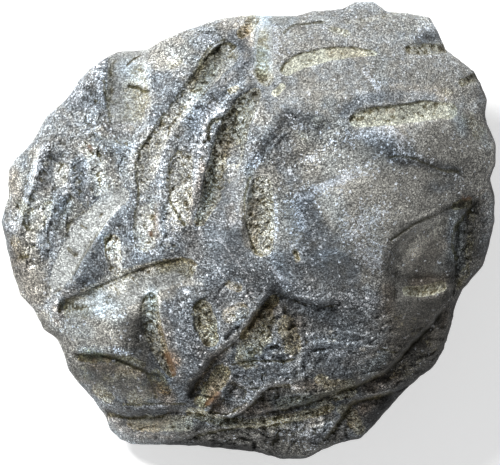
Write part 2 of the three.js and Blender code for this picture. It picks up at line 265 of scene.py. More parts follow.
def facets(places, size, seed):
    """Random tilted faces with sharp borders, like chipped rock, as a height for a tilt of 1."""
    cells = np.floor(places / size)
    nearest = np.full(len(places), np.inf)
    height = np.zeros(len(places))
    for step in np.ndindex(3, 3):
        cell = cells + step - 1
        bits = scramble(flat(cell), seed)
        spot, tilt = [
            np.stack([(bits >> shift & 63) / 63 for shift in shifts], axis=1)
            for shifts in ((0, 6), (12, 18))
        ]
        offset = places / size - cell - spot
        distance = (offset**2).sum(axis=1)
        closer = distance < nearest
        nearest = np.where(closer, distance, nearest)
        height = np.where(closer, (offset * (2 * tilt - 1)).sum(axis=1), height)
    return height * size


def flat(places):
    """Places on the plan as places in space, for noise."""
    return np.column_stack([places, np.zeros(len(places))])


print("noise check:", np.round(rock_noise(flat(on_plan((100, 100, 200, 200))), 0.01, 1), 4))

# %% [markdown]
# ## The stone's outline and dome
# From above the stone is a rounded block with a few corners. The outline is drawn once, and the
# distance from the middle to it in any direction tells how far the stone reaches. The top is a
# dome whose summit lies right of the middle and behind it, and which falls away fastest on the
# right.

# %% Outline and dome
OUTLINE = on_plan((
    1, 222, 4, 208, 8, 198, 8, 180, 9, 168, 16, 157, 27, 148, 36, 136, 46, 117, 66, 100, 78, 83, 90, 69,
    104, 59, 118, 52, 148, 50, 160, 42, 180, 33, 200, 26, 222, 19, 248, 16, 295, 17, 311, 12, 343, 10,
    353, 3, 373, 2, 386, 12, 408, 14, 430, 18, 438, 33, 445, 50, 461, 62, 474, 72, 482, 88, 487, 100,
    484, 113, 488, 127, 495, 143, 495, 165, 489, 179, 494, 195, 494, 222, 488, 250, 482, 267, 463, 289,
    456, 302, 451, 325, 444, 349, 434, 366, 419, 378, 402, 393, 391, 406, 374, 426, 361, 439, 343, 443,
    322, 451, 306, 460, 283, 460, 255, 453, 225, 450, 200, 447, 150, 446, 131, 446, 120, 441, 109, 431,
    105, 418, 92, 400, 80, 386, 68, 371, 64, 355, 57, 340, 43, 330, 34, 310, 21, 297, 14, 278, 7, 250,
))
SUMMIT = np.array([30, 20]) * MM
DOME_TOP = 82.9 * MM
FALL_LEFT, FALL_RIGHT, FALL_BACK, FALL_FRONT = 3.1, 8.5, 6.2, 5.2   # curvature, per metre
OUTLINE_JAG, JAG_SIZE = 0.5 * MM, 4 * MM
TINY = 1e-6                      # keeps a division away from zero
PARALLEL = 1e-12                 # a turn smaller than this is none
END_SLACK = 1e-9                 # a ray through a corner still meets one of its two edges


def radius_at(angles):
    """How far the outline is from the middle of the plan, in each direction."""
    rays = np.column_stack([np.cos(angles), np.sin(angles)])
    radius = np.zeros(len(angles))
    for start, end in zip(OUTLINE, np.roll(OUTLINE, -1, axis=0)):
        edge = end - start
        turn = rays[:, 0] * edge[1] - rays[:, 1] * edge[0]
        turn = np.where(np.abs(turn) < PARALLEL, PARALLEL, turn)
        reach = (start[0] * edge[1] - start[1] * edge[0]) / turn
        share = (start[0] * rays[:, 1] - start[1] * rays[:, 0]) / turn
        met = (reach > 0) & (share >= -END_SLACK) & (share <= 1 + END_SLACK)
        radius = np.where(met & (reach > radius), reach, radius)
    return radius


def dome_height(places):
    across, along = (places - SUMMIT).T
    falls = np.where(across < 0, FALL_LEFT, FALL_RIGHT) * across**2
    falls += np.where(along < 0, FALL_FRONT, FALL_BACK) * along**2
    return DOME_TOP - falls


compass = radius_at(np.radians([0, 90, 180, 270]))
print("reach right, back, left, front, mm:", np.round(compass / MM, 1))

# %% [markdown]
# ## Swells and hollows
# Between the dome and the borings the top rises and dips: bulges, ridges left standing between two
# borings, and scoops where flakes came off. Each is a soft mound, long or round, turned its own
# way.

# %% Swells and hollows
# place u, v; half sizes; turn in degrees; height in mm
SWELLS = [
    (345, 205, 70, 60, 0, 2.0),      # dome
    (98, 332, 28, 15, -10, 2.8),     # bulge at the front left
    (141, 340, 11, 24, -12, -3.4),   # its right flank
    (183, 330, 14, 36, 12, 1.8),     # tongue between the front borings
    (170, 92, 9, 48, -33, 1.6),      # ridge at the back left
    (232, 78, 10, 22, -40, 1.8),     # ridge beside the long boring
    (200, 128, 9, 30, -25, 2.2),
    (176, 178, 6, 30, 5, 1.0),
    (200, 200, 5, 28, -8, 1.2),
    (236, 200, 9, 40, -5, 1.0),
    (268, 330, 30, 25, 0, -1.0),     # rough hollow below the cliff
    (50, 335, 18, 14, -40, -1.5),
    (418, 295, 24, 45, -10, -2.0),   # scoop on the right
    (414, 246, 5, 18, -20, 0.7),
    (420, 276, 22, 5, 0, -1.2),
    (427, 39, 13, 7, -15, -2.6),     # notch at the back right
    (310, 255, 25, 14, -20, -1.0),
    (345, 345, 45, 22, 5, 1.5),
    (120, 385, 40, 14, -15, 1.0),
    (90, 172, 5, 20, 5, 1.2),        # ribs and furrows of the left side
    (77, 172, 5, 20, 5, -1.4),
    (58, 210, 9, 30, -22, 1.0),
    (47, 240, 9, 24, -22, -1.6),
    (90, 262, 10, 24, -30, 2.0),
    (76, 202, 14, 10, 20, -0.8),
    (30, 250, 14, 14, 0, -1.6),
    (30, 285, 20, 25, 0, 1.0),
    (470, 150, 20, 20, 0, 0.8),
]


def swell_height(places):
    height = np.zeros(len(places))
    for u, v, half_across, half_along, turn, rise in SWELLS:
        offset = places - on_plan((u, v))
        turn = math.radians(turn)
        a = (offset[:, 0] * math.cos(turn) + offset[:, 1] * math.sin(turn)) / (half_across * SQUARE)
        b = (offset[:, 1] * math.cos(turn) - offset[:, 0] * math.sin(turn)) / (half_along * SQUARE)
        height += rise * MM * np.exp(-a * a - b * b)
    return height


print("swells:", len(SWELLS))

# %% [markdown]
# ## Ledges
# The sponge grew in layers, and where a layer broke off it left a ledge. A ledge is a line with
# low ground on its left side: the ground drops over a short way, and climbs back slowly beyond.
# Its brink stands a little proud, and it dies out at both ends.

# %% Ledges
# path; drop, width of the edge, reach of the low ground and height of the brink, all in mm
LEDGES = {
    "cliff": ((274, 281, 263, 297, 251, 315, 239, 331, 225, 343, 211, 355, 201, 368, 192, 382, 186, 402),
        5.0, 2.1, 14, 0.7),
    "dome_foot": ((352, 306, 340, 298, 322, 300, 304, 297, 287, 291, 272, 283), 3.4, 2.4, 24, 0.5),
    "front_left": ((170, 376, 156, 371, 144, 368, 132, 363, 122, 357, 108, 353, 94, 352, 78, 352, 62, 344),
        2.0, 1.2, 18, 0.5),
    "front_left_lower": ((222, 414, 205, 407, 186, 405, 165, 405, 148, 407, 130, 410, 112, 405, 98, 394),
        5.0, 3.2, 15, 0.2),
    "front_left_lowest": ((205, 425, 180, 422, 150, 420, 125, 420, 112, 414), 1.8, 2.4, 12, 0.4),
    "front_lobe": ((302, 382, 286, 381, 268, 385, 254, 397, 243, 408, 230, 415, 214, 417),
        5.0, 1.6, 16, 0.6),
    "front_right": ((444, 300, 434, 314, 424, 326, 412, 338, 401, 350, 391, 362, 380, 371, 364, 378,
        346, 385, 326, 392, 304, 400, 280, 406, 256, 411), 5.5, 1.8, 16, 0.15),
    "corner_facet": ((400, 386, 382, 391, 364, 395, 349, 400, 341, 411, 333, 423, 325, 435, 318, 444),
        4.5, 2.2, 26, 0.15),
    "low_layer": ((320, 418, 300, 417, 275, 420, 250, 424, 226, 426, 200, 431, 180, 437, 160, 440),
        3.0, 2.0, 12, 0.4),
    "lowest_layer": ((318, 444, 300, 436, 270, 436, 240, 434, 215, 440), 2.0, 2.0, 12, 0.3),
    "middle_layer": ((372, 350, 350, 346, 330, 343, 300, 348, 276, 352, 255, 356, 236, 358),
        1.6, 1.8, 14, 0.3),
    "dome_back": ((356, 116, 338, 118, 320, 113, 302, 110, 288, 113, 277, 124, 268, 140, 260, 156,
        252, 170), 2.2, 6.0, 24, 0.1),
    "dome_right": ((458, 174, 440, 169, 420, 163, 400, 158, 384, 157), 1.1, 3.0, 22, 0.1),
    "chalk_slope": ((133, 200, 118, 212, 106, 224, 96, 238, 86, 256, 76, 276, 66, 296), 2.6, 4.5, 8, 0.2),
    "front_slab": ((232, 374, 224, 388, 214, 400, 204, 408), 3.0, 3.0, 10, 0.8),
    "left_wall": ((18, 240, 22, 222, 26, 205, 33, 188, 37, 170, 42, 152, 54, 138), 3.4, 2.6, 14, 1.2),
    "right_shoulder": ((456, 205, 436, 213, 416, 223, 397, 238, 386, 258, 382, 288, 385, 314),
        4.5, 4.5, 50, 0.0),
    "scoop_edge": ((480, 190, 465, 203, 452, 220, 449, 242, 449, 268, 444, 304), 3.5, 2.6, 14, 0.0),
}
LEDGE_FADE = 6 * MM              # how fast a ledge dies out at its ends, right at the line
LEDGE_FAN = 0.8                  # and how much slower for each metre away from it
BRINK_BEFORE = 1.5 * MM
BRINK_BEYOND = 0.5 * MM
FAR = 3                          # a ledge is forgotten at this many reaches from it


def ledge_height(places):
    height = np.zeros(len(places))
    for path, drop, edge, reach, brink in LEDGES.values():
        line = smooth_line(on_plan(path))
        near = boxed(line, places, FAR * reach * MM)
        distance, side, walked, length = nearest_on(line, places[near])
        fade = LEDGE_FADE + LEDGE_FAN * distance
        strength = smoothstep(walked / fade) * smoothstep((length - walked) / fade)
        beyond = np.maximum(distance - edge * MM, 0)
        low_ground = smoothstep(distance / (edge * MM)) * np.exp(-beyond / (reach * MM))
        change = -drop * strength * np.where(side > 0, low_ground, 0)
        brink_width = np.where(side > 0, BRINK_BEYOND, BRINK_BEFORE)
        change += brink * strength * np.exp(-distance / brink_width)
        height[near] += change * MM
    return height


print("ledges:", len(LEDGES))

# %% [markdown]
# ## Ridges and cracks
# Thin raised ridges and narrow cracks run over the stone. They are strokes of a small round tool,
# pulled up or pushed in.

# %% Ridges and cracks
# path, half width in squares, height in mm
RIDGES = [
    ((80, 150, 86, 160, 91, 172, 89, 184, 84, 194), 1.8, 0.8),
    ((42, 146, 36, 160, 34, 176, 36, 186), 3.4, 0.9), ((104, 118, 112, 140, 120, 150, 130, 156), 1.2, 0.4),
    ((252, 254, 266, 262, 278, 270, 292, 284), 1.6, 0.9),
    ((333, 240, 332, 230, 338, 222, 350, 221), 0.9, 0.35), ((222, 220, 232, 244, 252, 270), 1.2, 0.35),
    ((300, 113, 290, 120, 282, 134, 272, 148, 262, 166), 1.5, 0.5),
    ((274, 142, 286, 134, 296, 128), 1.0, 0.5), ((158, 295, 161, 310, 164, 326, 169, 344), 1.6, 0.5),
    ((208, 413, 228, 416, 243, 409, 256, 396, 262, 388), 1.4, 0.6),
    ((234, 372, 224, 388, 212, 402), 1.4, 0.6), ((200, 228, 203, 238, 212, 241, 222, 238), 0.9, 0.3),
    ((222, 240, 232, 256, 242, 268, 252, 280), 0.9, 0.3), ((214, 262, 224, 276, 234, 290), 0.8, 0.25),
    ((102, 118, 112, 134, 124, 146, 136, 152), 0.9, 0.3),
    ((108, 114, 120, 130, 134, 140, 142, 144), 0.8, 0.25),
    ((157, 204, 160, 216, 157, 232, 153, 246), 1.8, 0.7),
    ((152, 70, 150, 84, 152, 100, 147, 122), 1.8, 0.7),
    ((214, 84, 197, 98, 184, 116, 173, 132, 165, 146), 1.8, 1.0),
    ((165, 150, 161, 166, 163, 178), 2.2, 0.6),
    ((206, 130, 201, 150, 198, 170, 195, 190, 193, 206), 2.2, 0.9),
    ((224, 112, 214, 118, 206, 126, 198, 134), 2.0, 1.0), ((140, 122, 128, 132, 112, 128), 1.6, 0.5),
    ((240, 62, 232, 76, 222, 92), 2.2, 0.8), ((158, 245, 166, 232, 172, 222), 2.0, 0.8),
    ((124, 236, 126, 252, 122, 266), 1.4, 0.6), ((40, 160, 33, 180, 28, 200, 24, 220), 2.2, 0.8),
    ((150, 135, 170, 140, 185, 150), 3.0, 0.6), ((228, 100, 216, 112, 206, 108), 3.0, 0.8),
    ((190, 240, 176, 250, 160, 256, 140, 262), 3.0, 0.7), ((58, 318, 58, 300, 66, 292), 2.6, 0.8),
    ((50, 296, 62, 312, 90, 312, 130, 300, 165, 288, 196, 284), 3.5, 0.7),
    ((300, 344, 330, 341, 355, 344, 378, 347), 1.4, 0.5), ((320, 330, 350, 332, 372, 338), 1.2, 0.4),
    ((225, 372, 240, 384, 258, 392), 2.4, 0.7), ((201, 368, 192, 385, 189, 400), 2.0, -0.8),
    ((300, 318, 302, 340, 300, 360, 303, 382), 3.0, 0.9), ((230, 280, 222, 288, 214, 300), 1.6, -0.6),
    ((140, 57, 132, 62, 128, 66), 1.2, -0.8), ((130, 87, 140, 89, 150, 92), 1.6, -1.0),
    ((440, 206, 424, 216, 405, 222), 1.4, 0.5), ((360, 70, 370, 80, 378, 90), 1.2, 0.3),
    ((64, 188, 56, 198, 52, 214, 46, 232), 2.2, 0.9), ((72, 196, 62, 214, 56, 236), 2.4, -0.8),
    ((34, 200, 30, 216, 32, 236), 2.4, -0.8), ((392, 258, 404, 272, 436, 272), 3.0, 0.6),
    ((458, 212, 460, 240, 456, 262), 2.0, 0.8), ((250, 330, 262, 338, 270, 350, 290, 356), 3.0, 1.0),
    ((275, 300, 286, 318, 300, 322), 3.0, 0.9),
]
# seams along the borings' sharp edges, cut in and painted dark as dirt and painted shadow lines: path, half
# width in squares, depth in mm
SEAMS = [
    ((224, 42, 212, 47, 203, 58, 196, 70, 188, 82, 178, 97, 168, 112, 158, 124, 148, 138, 140, 152,
      137, 165, 137, 180, 139, 195, 136, 212, 135, 230, 137, 246), 1.5, 0.5),
    ((180, 152, 172, 160, 169, 175, 168, 190, 172, 204, 180, 216, 186, 226), 1.5, 0.5),
    ((60, 312, 60, 301, 75, 296, 92, 289, 108, 282, 125, 275, 145, 268, 165, 262, 185, 258), 1.5, 0.4),
    ((110, 218, 98, 234, 88, 250, 80, 265, 72, 280), 1.4, 0.3),
    ((112, 236, 106, 246, 107, 258, 113, 268), 1.4, 0.3), ((153, 292, 144, 299, 140, 312), 1.6, 0.4),
    ((130, 87, 138, 88, 143, 92, 150, 92), 1.6, 0.7), ((109, 57, 106, 72, 106, 92, 108, 108), 1.5, 0.5),
    ((250, 178, 245, 196, 245, 216, 250, 238, 256, 252), 1.6, 0.4),
    ((281, 71, 286, 62, 299, 56, 312, 51, 328, 49, 350, 49, 370, 52), 1.5, 0.5),
    ((349, 121, 352, 115, 360, 110, 376, 108, 398, 106, 414, 103, 428, 102), 1.5, 0.5),
    ((284, 34, 291, 28, 305, 25, 322, 24), 1.4, 0.5), ((404, 49, 410, 45, 420, 45, 436, 45), 1.4, 0.4),
    ((424, 331, 411, 344, 399, 359, 387, 369, 368, 379, 346, 387, 322, 394, 304, 401), 2.0, 0.6),
    ((92, 352, 104, 356, 118, 360, 132, 365, 146, 370), 1.7, 0.6),
    ((147, 372, 152, 384, 157, 397), 1.6, 0.4), ((124, 405, 150, 404, 186, 404), 1.6, 0.5),
    ((108, 416, 136, 420, 164, 416), 1.6, 0.5),
    ((232, 383, 246, 387, 260, 388, 272, 384, 290, 386), 1.6, 0.5),
    ((316, 271, 328, 262, 342, 255), 1.8, 0.15),
    ((388, 158, 404, 158, 420, 163, 440, 170, 456, 172), 1.8, 0.6),
    ((462, 218, 453, 230, 451, 246, 455, 258), 1.8, 0.6),
    ((254, 398, 240, 408, 226, 414, 208, 412), 1.6, 0.6),
    ((321, 444, 330, 434, 338, 424, 346, 412, 352, 402, 370, 398, 392, 392), 2.0, 0.8),
    ((200, 436, 224, 430, 250, 424, 280, 418), 1.6, 0.5),
    ((206, 298, 198, 302, 193, 312, 195, 326, 200, 338), 1.6, 0.4),
    ((28, 232, 24, 218, 28, 204, 34, 190), 1.8, 0.5), ((66, 236, 72, 222, 84, 212), 1.6, 0.4),
    ((208, 133, 212, 123, 222, 120), 2.0, 0.8), ((204, 143, 209, 138), 1.6, 0.6),
    ((378, 347, 400, 352, 420, 338), 1.4, 0.4),
    ((390, 240, 404, 230, 420, 221, 436, 214, 452, 206), 1.6, 0.6),
    ((232, 364, 246, 361, 262, 360, 280, 361, 292, 359), 1.5, 0.5),
]


ROUND_REACH, FLAT_REACH = 2.5, 1.5     # how far a stroke is felt, in half widths


def stroke(path, half_width, places, softness=None):
    """How strongly a stroke touches each place, 0 to 1: round, or flat with a soft edge."""
    line = on_plan(path)
    if len(line) > 2:
        line = smooth_line(line)
    reach = (ROUND_REACH if softness is None else FLAT_REACH) * half_width * SQUARE
    near = boxed(line, places, reach)
    amount = np.zeros(len(places))
    if near.any():
        distance = nearest_on(line, places[near])[0] / SQUARE
        if softness is None:
            amount[near] = np.exp(-((distance / half_width) ** 2))
        else:
            amount[near] = 1 - smoothstep((distance - half_width + softness) / (2 * softness))
    return amount


def ridge_height(places):
    return sum(height * MM * stroke(path, half_width, places) for path, half_width, height in RIDGES)


def seam_depth(places):
    return sum(depth * MM * stroke(path, half_width, places) for path, half_width, depth in SEAMS)


print("ridges and cracks:", len(RIDGES), "seams:", len(SEAMS))

# %% [markdown]
# ## Borings
# The worms' borings are long flattened ovals, cut open where the top wore down. Seen from above
# each is a boat: a smooth line with a half width and a depth at each point. Its two walls can
# differ, one a cliff and one a gentle bank, so each has its own steepness. A pale sediment fills
# the bottom.

# %% Borings
# Each point is u, v, half width in squares and depth in mm. Then the steepness of the left and right
# walls, walking along the path, and the fill.
BORINGS = {
    "back_long": ([(286, 71, 7, 0.9), (299, 64, 8.5, 1.3), (315, 59, 8.5, 1.4), (335, 55.5, 7, 1.2),
                   (355, 54.5, 5, 0.9), (374, 55, 2.5, 0.5)], 6, 2, "cream"),
    "right_long": ([(354, 122, 6, 1.6), (368, 119, 10.5, 2.0), (392, 117, 11, 2.0),
                    (420, 113, 11, 1.6), (448, 112, 9, 0.6)], 6, 2, "cream"),
    "back_slit": ([(286, 36, 3, 0.3), (305, 28, 4, 0.6), (322, 26, 4, 0.5), (336, 30, 3, 0.3)],
                  4, 1.5, None),
    "back_fleck": ([(331, 31, 2.5, 0.3), (339, 32, 3, 0.4), (346, 35, 3, 0.4)], 2, 2, "cream"),
    "back_edge": ([(346, 24, 1.5, 0.2), (366, 21, 2.5, 0.3), (384, 17, 3, 0.3),
                  (400, 14, 2, 0.3)], 2, 2, "pale"),
    "back_notch": ([(407, 51, 4, 1.0), (422, 51, 6, 1.4), (442, 49, 6, 1.6)], 4, 3, "tan"),
    "right_notch": ([(461, 83, 4, 0.8), (470, 79, 5, 1.2), (477, 76, 4, 1.2)], 2, 2, "brown"),
    "small_patch": ([(275, 95, 3.5, 0.5), (282, 88, 4, 0.7)], 4, 4, "cream"),
    "back_groove": ([(263, 10, 9, 1.2), (264, 40, 10, 1.8), (264, 60, 11, 2.0),
                     (264, 76, 10, 2.0)], 2.2, 3, "smooth_grey"),
    "back_pocket": ([(241, 35, 5, 1.8), (249, 27, 7, 2.0), (256, 16, 8, 1.6)], 2, 4, "tan"),
    "broad_groove": ([(131, 44, 22, 3.0), (129, 68, 22, 3.2), (129, 92, 22, 2.4),
                      (128, 116, 20, 1.2), (128, 132, 16, 0.4)], 2.6, 6, "smooth_grey"),
    "long_boring": ([(228, 56, 13, 1.8), (213, 70, 13.5, 2.0), (202, 84, 12.5, 2.0),
                     (188, 101, 9.5, 1.1), (175, 119, 9, 0.9), (161, 138, 10, 1.0),
                     (152, 156, 12.5, 1.2), (149, 177, 12, 1.0), (149, 200, 11.5, 0.9),
                     (147, 225, 11.5, 1.1), (148, 243, 9.5, 0.9)], 1.5, 7, "pale"),
    "spindle": ([(185, 160, 9, 0.9), (182, 175, 12.5, 1.4), (182, 190, 13.5, 1.5),
                 (183, 204, 12, 1.4), (185, 219, 7, 0.6)], 1.8, 8, "crust"),
    "deep_channel": ([(256, 96, 6, 1.4), (247, 106, 12.5, 3.0), (239, 121, 15.5, 4.4),
                      (233, 137, 18, 4.8), (229, 155, 18.5, 4.8), (222, 174, 17.5, 4.4),
                      (214, 191, 13, 3.6), (207, 207, 9, 2.4), (200, 222, 6, 1.0)],
                     1.5, 2.6, "tan"),
    "middle_oval": ([(262, 186, 10, 1.6), (261, 204, 15, 2.4), (261, 226, 15.5, 2.6),
                     (262, 246, 11, 1.8)], 2.2, 4, "wormy"),
    "left_pocket": ([(60, 150, 10, 1.0), (54, 162, 12, 1.6), (47, 176, 9, 1.4), (42, 188, 5, 0.6)],
                    2, 2, None),
    "left_saucer": ([(65, 168, 6, 0.3), (61, 180, 7, 0.3)], 2, 2, "pale"),
    "left_groove": ([(102, 154, 5, 0.5), (110, 156, 7, 0.7), (117, 160, 6, 0.6)], 2, 2, None),
    "left_spot": ([(103, 177, 7, 0.6), (106, 187, 7, 0.6)], 3, 3, "pale"),
    "chalk_boring": ([(121, 195, 9, 0.5), (104, 210, 12, 0.9), (88, 229, 13, 1.1),
                      (74, 251, 13.5, 1.1), (62, 272, 11.5, 1.0), (56, 288, 7, 0.6)], 6, 3, "chalk"),
    "short_oval": ([(113, 242, 9, 1.4), (114, 254, 10, 1.8), (116, 266, 8, 1.2)],
                   2, 4, "crust"),
    "chalk_pits": ([(101, 216, 2, 0.6), (103, 214, 2.5, 0.9)], 2, 2, "brown"),
    "chalk_nick": ([(82, 225, 1.5, 0.5), (87, 228, 2, 0.7)], 2, 2, "brown"),
    "chalk_scar": ([(70, 249, 3, 0.6), (76, 254, 4.5, 0.9)], 2, 4, "tan"),
    "left_long": ([(189, 268, 9, 1.0), (171, 274, 15, 1.3), (152, 281, 17, 1.6),
                   (131, 290, 17, 1.7), (107, 298, 16, 1.8), (88, 306, 13.5, 1.9),
                   (70, 310, 12, 2.0)], 1.4, 6, "floury"),
    "front_left_boring": ([(150, 301, 9.5, 2.2), (151, 318, 10.5, 3.2), (155, 338, 10.5, 3.4),
                           (163, 356, 8, 2.8), (171, 373, 5, 1.4)], 5, 1.7, "tan"),
    "front_oval": ([(203, 307, 9, 2.0), (206, 322, 12.5, 2.6), (211, 338, 9, 1.4)],
                   1.8, 3, "olive_pale"),
    "front_saucer": ([(229, 315, 9, 0.5), (241, 310, 10, 0.5)], 2, 2, "crust"),
    "front_pit": ([(229, 337, 5, 2.0), (237, 329, 5, 2.0)], 3, 3, None),
    "front_spot": ([(229, 284, 5, 0.6), (238, 287, 5.5, 0.5)], 2, 2, "pale"),
    "cliff_trough": ([(215, 359, 6, 1.0), (203, 376, 8, 1.5), (194, 393, 7, 1.3)], 2, 3, None),
    "scoop_boring": ([(406, 290, 5.5, 1.2), (422, 291, 6.5, 1.6), (440, 286, 6.5, 1.2)],
                     4, 4, "cream"),
    "dome_pit": ([(295, 252, 3, 1.2), (297, 258, 4, 1.2)], 3, 3, "tan"),
    "right_recess": ([(453, 207, 3, 0.8), (461, 204, 6, 1.6), (468, 201, 3, 0.9)], 2, 2, "brown"),
}
# paleness (0 dark brown, 1 chalk white), warmth (0 grey, 1 cream) and grit of each fill
FILLS = {
    "cream": (0.92, 1.0, 0.6),
    "film": (0.56, 0.5, 0.1),
    "chalk": (0.97, 0.1, 0.2),
    "floury": (0.88, 0.15, 0.25),
    "crust": (0.76, 0.08, 0.7),
    "pale": (0.73, 0.08, 0.45),
    "smooth_grey": (0.73, 0.0, 0.1),
    "tan": (0.57, 0.35, 0.8),
    "wormy": (0.66, 0.4, 0.9),
    "olive_pale": (0.5, 0.6, 0.8),
    "olive": (0.3, 0.9, 0.8),
    "brown": (0.28, 1.0, 0.6),
}
BORING_STEPS = 4                 # of the spline between two points of a boring
FILL_LEVEL = 0.55                # the fill is full where a boring is this share of its depth
# the foot of a steep wall is painted dark, as dirt and as painted shade
FOOT_START, FOOT_WIDTH = 0.72, 0.16    # where the dirt lies, in half widths from the middle
CLIFF = 5                        # a wall this steep is a cliff, and dirt stays at its foot


def bore(places, height):
    """Cuts the borings. Gives the new height, and the fill's amount, paleness, warmth and grit."""
    fill = {name: np.zeros(len(places)) for name in ("amount", "paleness", "warmth", "grit", "dirt")}
    for points, left, right, kind in BORINGS.values():
        points = np.array(points, float)
        line = smooth_line(on_plan(points[:, :2]), BORING_STEPS)
        near = boxed(line, places, points[:, 2].max() * SQUARE)
        distance, side, walked, length = nearest_on(line, places[near])
        spans = np.linalg.norm(np.diff(line, axis=0), axis=1)
        milestones = np.concatenate([[0], np.cumsum(spans)])[::BORING_STEPS]
        half_width = np.interp(walked, milestones, points[:, 2] * SQUARE)
        depth = np.interp(walked, milestones, points[:, 3] * MM)
        across = np.clip(distance / half_width, 0, 1)
        steepness = np.where(side > 0, left, right)
        deepness = 1 - across**steepness
        height[near] -= depth * deepness
        # the dark foot of a cliff wall: dirt and painted shade
        foot = smoothstep((across - FOOT_START) / FOOT_WIDTH) * (across < 1) * (steepness >= CLIFF)
        fill["dirt"][near] = np.maximum(fill["dirt"][near], foot * (depth > 1 * MM))
        if kind:
            amount = np.clip(deepness / FILL_LEVEL, 0, 1)
            blend = amount > fill["amount"][near]
            for name, value in zip(("paleness", "warmth", "grit"), FILLS[kind]):
                fill[name][near] = np.where(blend, value, fill[name][near])
            fill["amount"][near] = np.maximum(amount, fill["amount"][near])
    return height, fill


print("borings:", len(BORINGS))

# %% [markdown]
# ## Laying a ball over the stone
# The mesh starts as a ball of even triangles, because a ball is closed and has no seam. Its skin is
# then laid over the stone by place: most of it over the top, a band down the side, and the rest
# flat over the underside. Hundreds of strokes on a hundred thousand corners are beyond edit mode's
# operators, so the corners are moved in code, each stroke by its distance, which is what a sculpt
# brush does. A Decimate modifier then spends the triangles where the relief is.

# %% Ball
TOP_SHARE = 0.84
SIDE_SHARE = 0.13
BALL_LEVEL = 8
RIM_ROUND = 6 * MM
RIM_SHADE = 1.6 * MM             # the last of the rim is dark where it turns away from the light
AWAY_FROM_LIGHT = np.array([0.8, -0.6])
FULLY_AWAY = 0.6
MOST_TRIANGLES = 190_000

select_nothing()
bpy.ops.mesh.primitive_ico_sphere_add(subdivisions=BALL_LEVEL, radius=1.0, location=(0, 0, 0))
stone = bpy.context.object
stone.name = "stone"
ball = np.empty(len(stone.data.vertices) * 3)
stone.data.vertices.foreach_get("co", ball)
ball = ball.reshape(-1, 3)
angle = np.arctan2(ball[:, 1], ball[:, 0])
share = (1 - ball[:, 2] / np.linalg.norm(ball, axis=1)) / 2
radius = radius_at(angle)
direction = np.column_stack([np.cos(angle), np.sin(angle)])
radius += OUTLINE_JAG * rock_noise(flat(direction * radius[:, None]), JAG_SIZE, seed=61)
on_top = share <= TOP_SHARE
down = np.clip((share - TOP_SHARE) / SIDE_SHARE, 0, 1)
reach = np.where(on_top, np.sqrt(np.minimum(share / TOP_SHARE, 1)), 1.0)
places = direction * (reach * radius)[:, None]
print("corners:", len(places), "on top:", int(on_top.sum()))

# %% [markdown]
# ## Sculpting the top
# The features go on in the order in which the real stone got them: the dome and its swells, the
# broken layers, the ridges, then the borings and the grains of their fill. All lines are drawn on
# slightly warped paper, so that no edge is a clean curve. Rough ground gets folded noise, and the
# smooth skin of the dome only a faint one.

# %% Ground
# size and strength of the paper's creases
WARP = [(9 * MM, 0.35 * MM), (3 * MM, 0.3 * MM)]
WARP_SEED = 40
# a seam is painted dark, as dirt and as a painted shadow line
SEAM_FULL = 0.3 * MM             # a seam this deep is full of dirt
RELIEF = {                       # height and size in mm, seed, octaves, fading, folded
    "waves": (1.1, 25, 3, 3, 0.5, False),
    "bumps": (1.0, 7, 7, 3, 0.5, False),
    "broken": (1.7, 8, 71, 5, 0.55, True),
    "weathered": (0.7, 3.4, 77, 4, 0.65, False),
    "beds": (1.1, 4.5, 101, 4, 0.6, True),
    "crumbs": (0.6, 2.8, 81, 3, 0.65, True),
    "side faces": (3.0, 18, 25, 3, 0.5, False),
    "side grain": (0.8, 4, 29, 4, 0.6, True),
}
CHIPS = {                        # tilt, size in mm, seed
    "beds": (0.3, 2.4, 103),
    "large": (1.0, 5, 91),
    "small": (1.0, 2.2, 93),
    "crumbs": (0.35, 2.4, 95),
}
CHIPPED, CHIPPED_ROUGH = 0.08, 0.35    # tilt of the chips on plain ground, and added on rough ground
HOLES = (3.2, 85, 4, 0.65)       # size in mm, seed, octaves, fading
HOLE_DEPTH = 1.2 * MM
HOLE_LEVEL, HOLE_EDGE = -0.28, 0.2     # noise below this level is a hole; how soft its edge is
GROUND_SOFTNESS = 0.5            # of a stroke's half width
# half width, amount, and the brush's paths
ROUGH_GROUND = [
    (10, 0.6, [(465, 210, 462, 260, 450, 310)]), (12, 0.8, [(228, 92, 205, 120, 200, 150, 165, 225)]),
    (16, 0.3, [(240, 370, 295, 368)]),
    (16, 0.6, [(90, 80, 95, 120, 90, 150, 160, 140, 200, 110, 240, 70, 210, 35)]),
    (18, 0.3, [(100, 385, 150, 398)]), (18, 0.7, [(215, 402, 300, 395)]),
    (20, 0.4, [(180, 150, 170, 240)]), (20, 0.8, [(200, 432, 260, 432, 330, 425)]),
    (22, 0.7, [(60, 160, 40, 210, 30, 250, 60, 200, 80, 180)]), (26, 0.8, [(255, 310, 285, 350)]),
]
BEDDED_GROUND = [
    (18, 0.8, [(130, 425, 230, 428, 330, 422)]), (22, 0.8, [(240, 375, 350, 378)]),
    (26, 1.0, [(250, 405, 330, 395, 400, 370, 430, 345)]), (34, 0.8, [(310, 325, 370, 340)]),
]
BEDDING_TURN = 14                # degrees: the layers' broken edges run along this direction
BEDDING_STRETCH = 3.2
SMOOTH_GROUND = [
    (12, 0.8, [(264, 15, 264, 68)]),
    (14, 0.6, [(125, 428, 170, 430), (116, 200, 88, 234, 60, 278), (180, 280, 130, 295, 75, 308)]),
    (18, 0.5, [(85, 332, 125, 322)]), (18, 0.6, [(236, 196, 232, 250)]), (20, 0.5, [(130, 60, 130, 120)]),
    (20, 0.7, [(100, 372, 140, 385)]), (26, 0.85, [(416, 235, 424, 330)]),
    (62, 0.65, [(290, 60, 400, 70, 400, 170, 340, 225)]),
]


